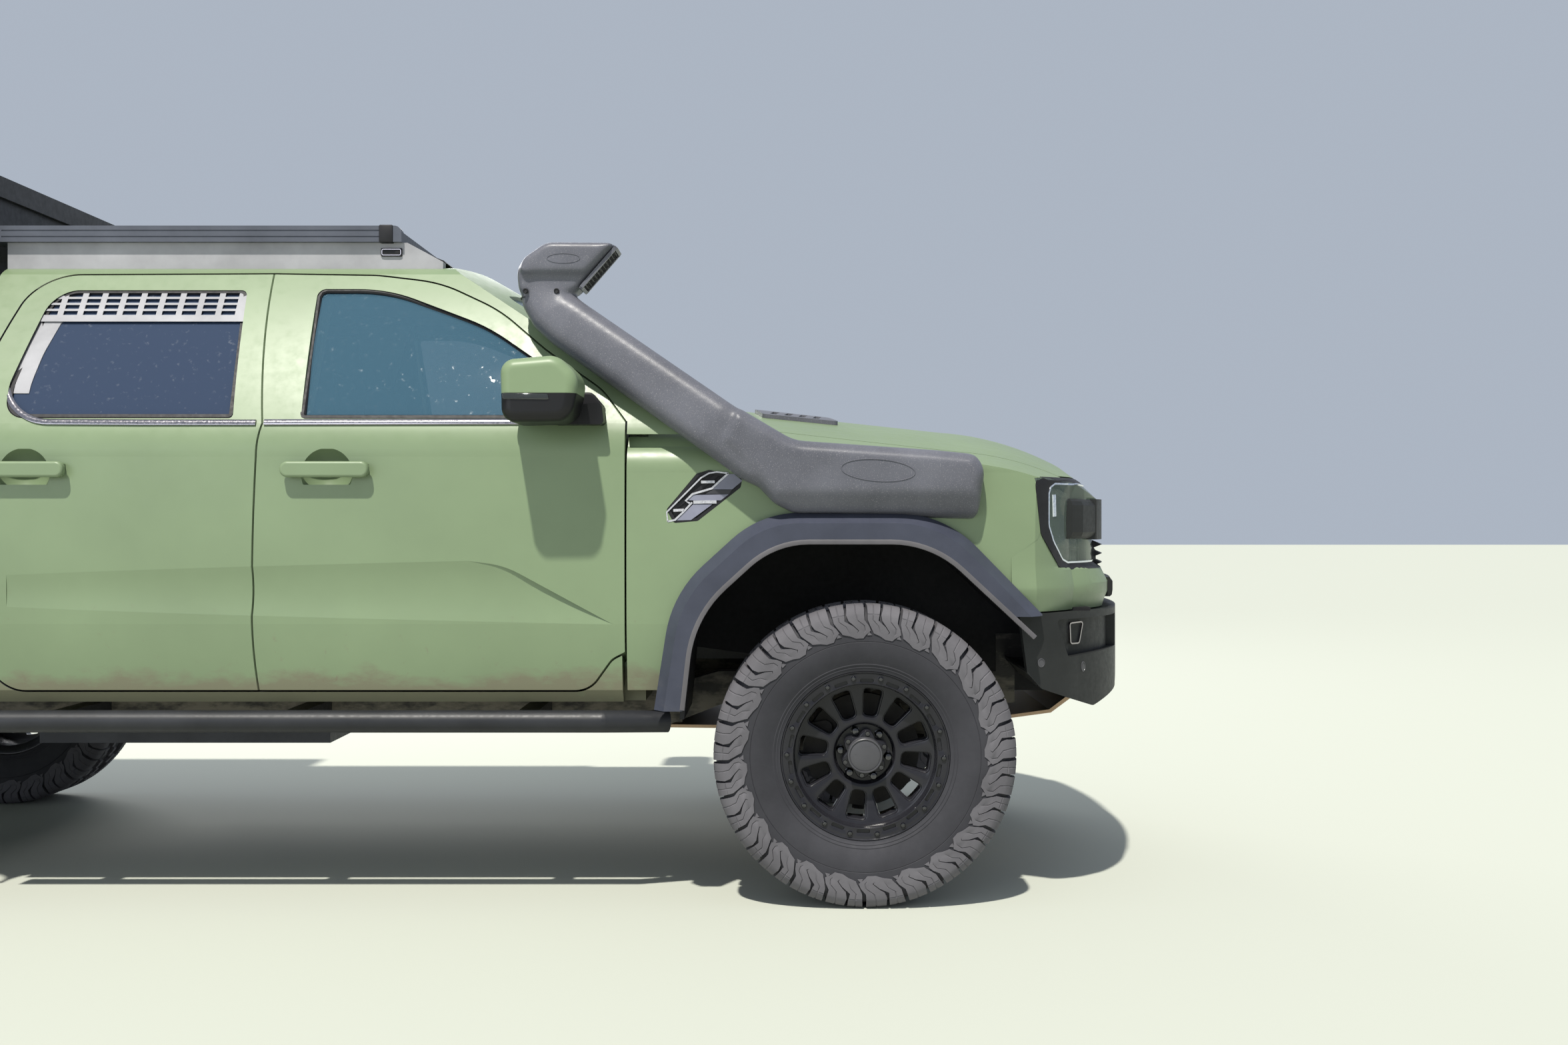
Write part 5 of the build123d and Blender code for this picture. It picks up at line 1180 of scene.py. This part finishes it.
# Nose: near-black aprons inside the arches that paint the shade of the bay, the creased bumper and what is
# set into the lower one
apron_rows = [(-520, 700), (-230, 660), (230, 660), (400, 560), (640, 560), (650, 900), (560, 1150),
              (-520, 1150)]
both_sides("inner_apron", prism([Vector(row) for row in apron_rows], [(-462, 0), (-468, 0)]), "bay_painted_shade")
bumper_cuts = (858, 880, 898, 905, 912, 930, 955, 966, 980, 1010, 1110, 1160)
bumper_front = [(836, 6), (858, 12), (880, 22), (912, 22), (955, 0), (966, -30), (1110, -30), (1216, -3)]
bumper_side = [(836, -4), (898, 11), (905, 11), (960, 3), (1010, 0)]
bumper_mesh = pushed("upper_bumper", "olive_paint", bumper_cuts, bumper_front, bumper_side)
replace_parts(place("creased_bumper", bumper_mesh, "body_paint", smooth=14), "upper_bumper")

# Grille with its bar set back a little
grille_mesh = dress(nodes["grille"].data.copy(), "bumper_plastic")
grille_bar_z = (1036, 1171)
grille_bar_x = 600
set_back = 24
for vertex in grille_mesh.vertices:
    x, _, z = in_mm(vertex.co)
    if grille_bar_z[0] < z < grille_bar_z[1] and x > grille_bar_x:
        vertex.co.x -= set_back * MM
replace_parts(place("grille_set_back", grille_mesh, smooth=30), "grille")


def across_nose(x, z, bow, bow_half, half, parts):
    """Path across the nose that draws back by bow at bow_half from its middle."""
    return [(at(x - bow * (y / bow_half) ** 2, y, z), Vector((1, y / bow_half * 0.2, 0)).normalized())
            for y in steps(-half, half, parts)]


# Black centre section with upright ends, and wedge-shaped ribs across the grille below its bar
centre_profile = [(-30, -50), (30, -50), (30, -6), (24, 0), (10, 2), (-16, 2), (-30, -8)]
centre = strip(across_nose(852, 892, 58, 548, 548, 24), centre_profile)
piece("bumper_centre", centre, "bumper_plastic", smooth=30)
ribs = Shape()
for z in (968, 996, 1024):
    ribs.join(strip(across_nose(818, z, 62, 540, 528, 28), [(-13, -26), (13, -26), (0, 6)]))
piece("grille_ribs", ribs, "deep_black", smooth=30)

# Fog lamp frame and parking sensors on the lower bumper, and a near-black filler behind the gap between the
# bumpers, painted shade where the gap would show through
bumper_skin = tree_of(nodes["front_bumper"].data)


def on_bumper(x, z, out):
    return laid(bumper_skin, at(x, -1300, z), at(x, 0, z), out)


fog_line = cornered([(614, 735, 6), (644, 735, 6), (658, 798, 6), (611, 796, 6)], step=6)
fog_path = only_found(on_bumper(point.x, point.y, 4) for point in fog_line)
fog_frame = strip(fog_path, bar(3, -6, 2, 1.5), closed=True)
# The fog lamp frame takes the belt trim's look, whose light colour is a painted reflection.
both_sides("fog_frame", fog_frame, "belt_trim_painted_reflection", "metal_grey", smooth=40)
sensors = Shape()
for x, z, long, high in ((512, 688, 9, 11), (652, 668, 6, 13)):
    loops = [only_found(on_bumper(x + long * grow * right, z + high * grow * up, out)
                        for right, up in circle(20))
             for grow, out in ((1.25, -2), (1.2, 1.2), (1, 1.6), (0.94, 0.2))]
    if all(len(loop) == 20 for loop in loops):
        sensors.join(skin([[point for point, _ in loop] for loop in loops], cap_start=True, cap_end=True))
both_sides("parking_sensor", sensors, "cap_satin", smooth=30)
both_sides("bumper_filler", box_shape((560, -800, 826), (680, -600, 842)), "bay_painted_shade")

# Lighter rolled lip along the inner edge of each arch flare
flare_face = -1013.5
lip_profile = [(-2, -34), (12, -6), (11, 2.4), (3, 3.4), (-2.5, 1), (-3.5, -34)]
for name, rows in (
    ("front", [(-528, 560), (-497, 830, 330), (-262, 1044, 260), (192, 1044, 300), (486, 770)]),
    ("rear", [(rear_axle - 532, 642), (rear_axle - 497, 830, 330), (rear_axle - 252, 1044, 260),
              (rear_axle + 252, 1044, 260), (rear_axle + 497, 830, 330), (rear_axle + 532, 642)]),
):
    path = side_path(cornered(rows, closed=False, step=24), flare_face)
    both_sides(f"flare_lip_{name}", strip(path, lip_profile), "flare_lip", smooth=40)

# Roof rack: end caps on the side rails and a clamp on each foot plate
end_cap = box_shape((-1484, -624.5, 1958.5), (-1441, -586, 2013.5))
both_sides("rack_end_cap", end_cap, "deep_black", "black_paint", bevel=0.004)
clamp_face = -606
clamp = box_shape((-1482, clamp_face, 1918), (-1416, -598, 1944))
both_sides("rack_clamp", clamp, "deep_black", "black_paint", bevel=0.003)
clamp_line = cornered([(-1478, 1922, 4), (-1420, 1922, 4), (-1420, 1940, 4), (-1478, 1940, 4)], step=4)
clamp_frame = strip(side_path(clamp_line, clamp_face), bar(1.4, -1, 1, 1.2), closed=True)
# The clamp's frame takes the belt trim's look, whose light colour is a painted reflection.
both_sides("rack_clamp_frame", clamp_frame, "belt_trim_painted_reflection", "metal_grey")

# Wipers lie along the windscreen's foot
screen_skin = tree_of(nodes["windscreen"].data)
blade_profile = [(-6, -3.6), (6, -3.6), (5, 1), (2.5, 9), (-2.5, 9), (-5, 1)]
for side_name, along, across in (("right", (-560, -590), (-610, 40)), ("left", (-540, -600), (30, 610))):
    path = only_found(laid(screen_skin, at(x + 600, y, 2400), at(x, y, 1500), 4)
                      for x, y in zip(steps(*along, 14), steps(*across, 14)))
    piece(f"wiper_blade_{side_name}", strip(path, blade_profile), "rubber_seal", smooth=30)

# Soft seats over the plain ones
soft_seats = place("soft_seats", dress(nodes["seats"].data.copy(), "seat_cloth"), "seat_cloth", smooth=0)
modify(soft_seats, "REMESH", mode="VOXEL", voxel_size=0.014, use_smooth_shade=True)
modify(soft_seats, "SMOOTH", factor=0.6, iterations=6)
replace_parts(soft_seats, "seats")


# Camera as the photograph was taken: level, at the height of the horizon, square to the vehicle's side
camera_data = bpy.data.cameras.new("camera")
camera_data.lens = 37.87
camera_data.sensor_width = 36
camera_data.shift_y = -0.0038
camera = in_scene("camera", camera_data)
camera.location = at(-233, -5714, 1112)
camera.rotation_euler = (pi / 2, 0, 0)
bpy.context.scene.camera = camera


# Lights, floor and world

def aimed(way):
    return Vector(way).to_track_quat("-Z", "Y").to_euler()


def area_lamp(name, location, target, size, power, colour=(1, 1, 1)):
    data = bpy.data.lights.new(name, "AREA")
    data.shape = "RECTANGLE"
    data.size, data.size_y = size
    data.energy = power
    data.color = colour
    made = in_scene(name, data)
    made.location = location
    made.rotation_euler = aimed(Vector(target) - Vector(location))


sun_data = bpy.data.lights.new("sun", "SUN")
sun_data.energy = 5.2
sun_data.angle = radians(1.5)
sun_data.color = (1, 0.96, 0.88)
in_scene("sun", sun_data).rotation_euler = aimed((0.14, 0.47, -0.87))
area_lamp("side", (-4.5, -9, 3), (-0.3, 0, 0.9), (7, 3), 140, (0.86, 0.92, 1))
area_lamp("back", (-3, 8.5, 5), (0, 0, 0.9), (6, 3), 330)

far = 60.0
floor_corners = [(-far, -far, 0.0), (far, -far, 0.0), (far, far, 0.0), (-far, far, 0.0)]
floor_data = bpy.data.meshes.new("floor")
floor_data.from_pydata(floor_corners, [], [(0, 1, 2, 3)])
floor_look = Look("floor")
floor_look.feed(floor_look.shader, {"Base Color": (0.46, 0.48, 0.42, 1), "Roughness": 0.8})
floor_data.materials.append(materials["floor"])
in_scene("floor", floor_data)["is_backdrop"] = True

world = bpy.data.worlds.new("world")
bpy.context.scene.world = world
world.use_nodes = True
sky = world.node_tree.nodes["Background"]
sky.inputs["Color"].default_value = (0.74, 0.83, 0.97, 1)
sky.inputs["Strength"].default_value = 0.56
bpy.context.scene.view_settings.view_transform = "Standard"

low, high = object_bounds()
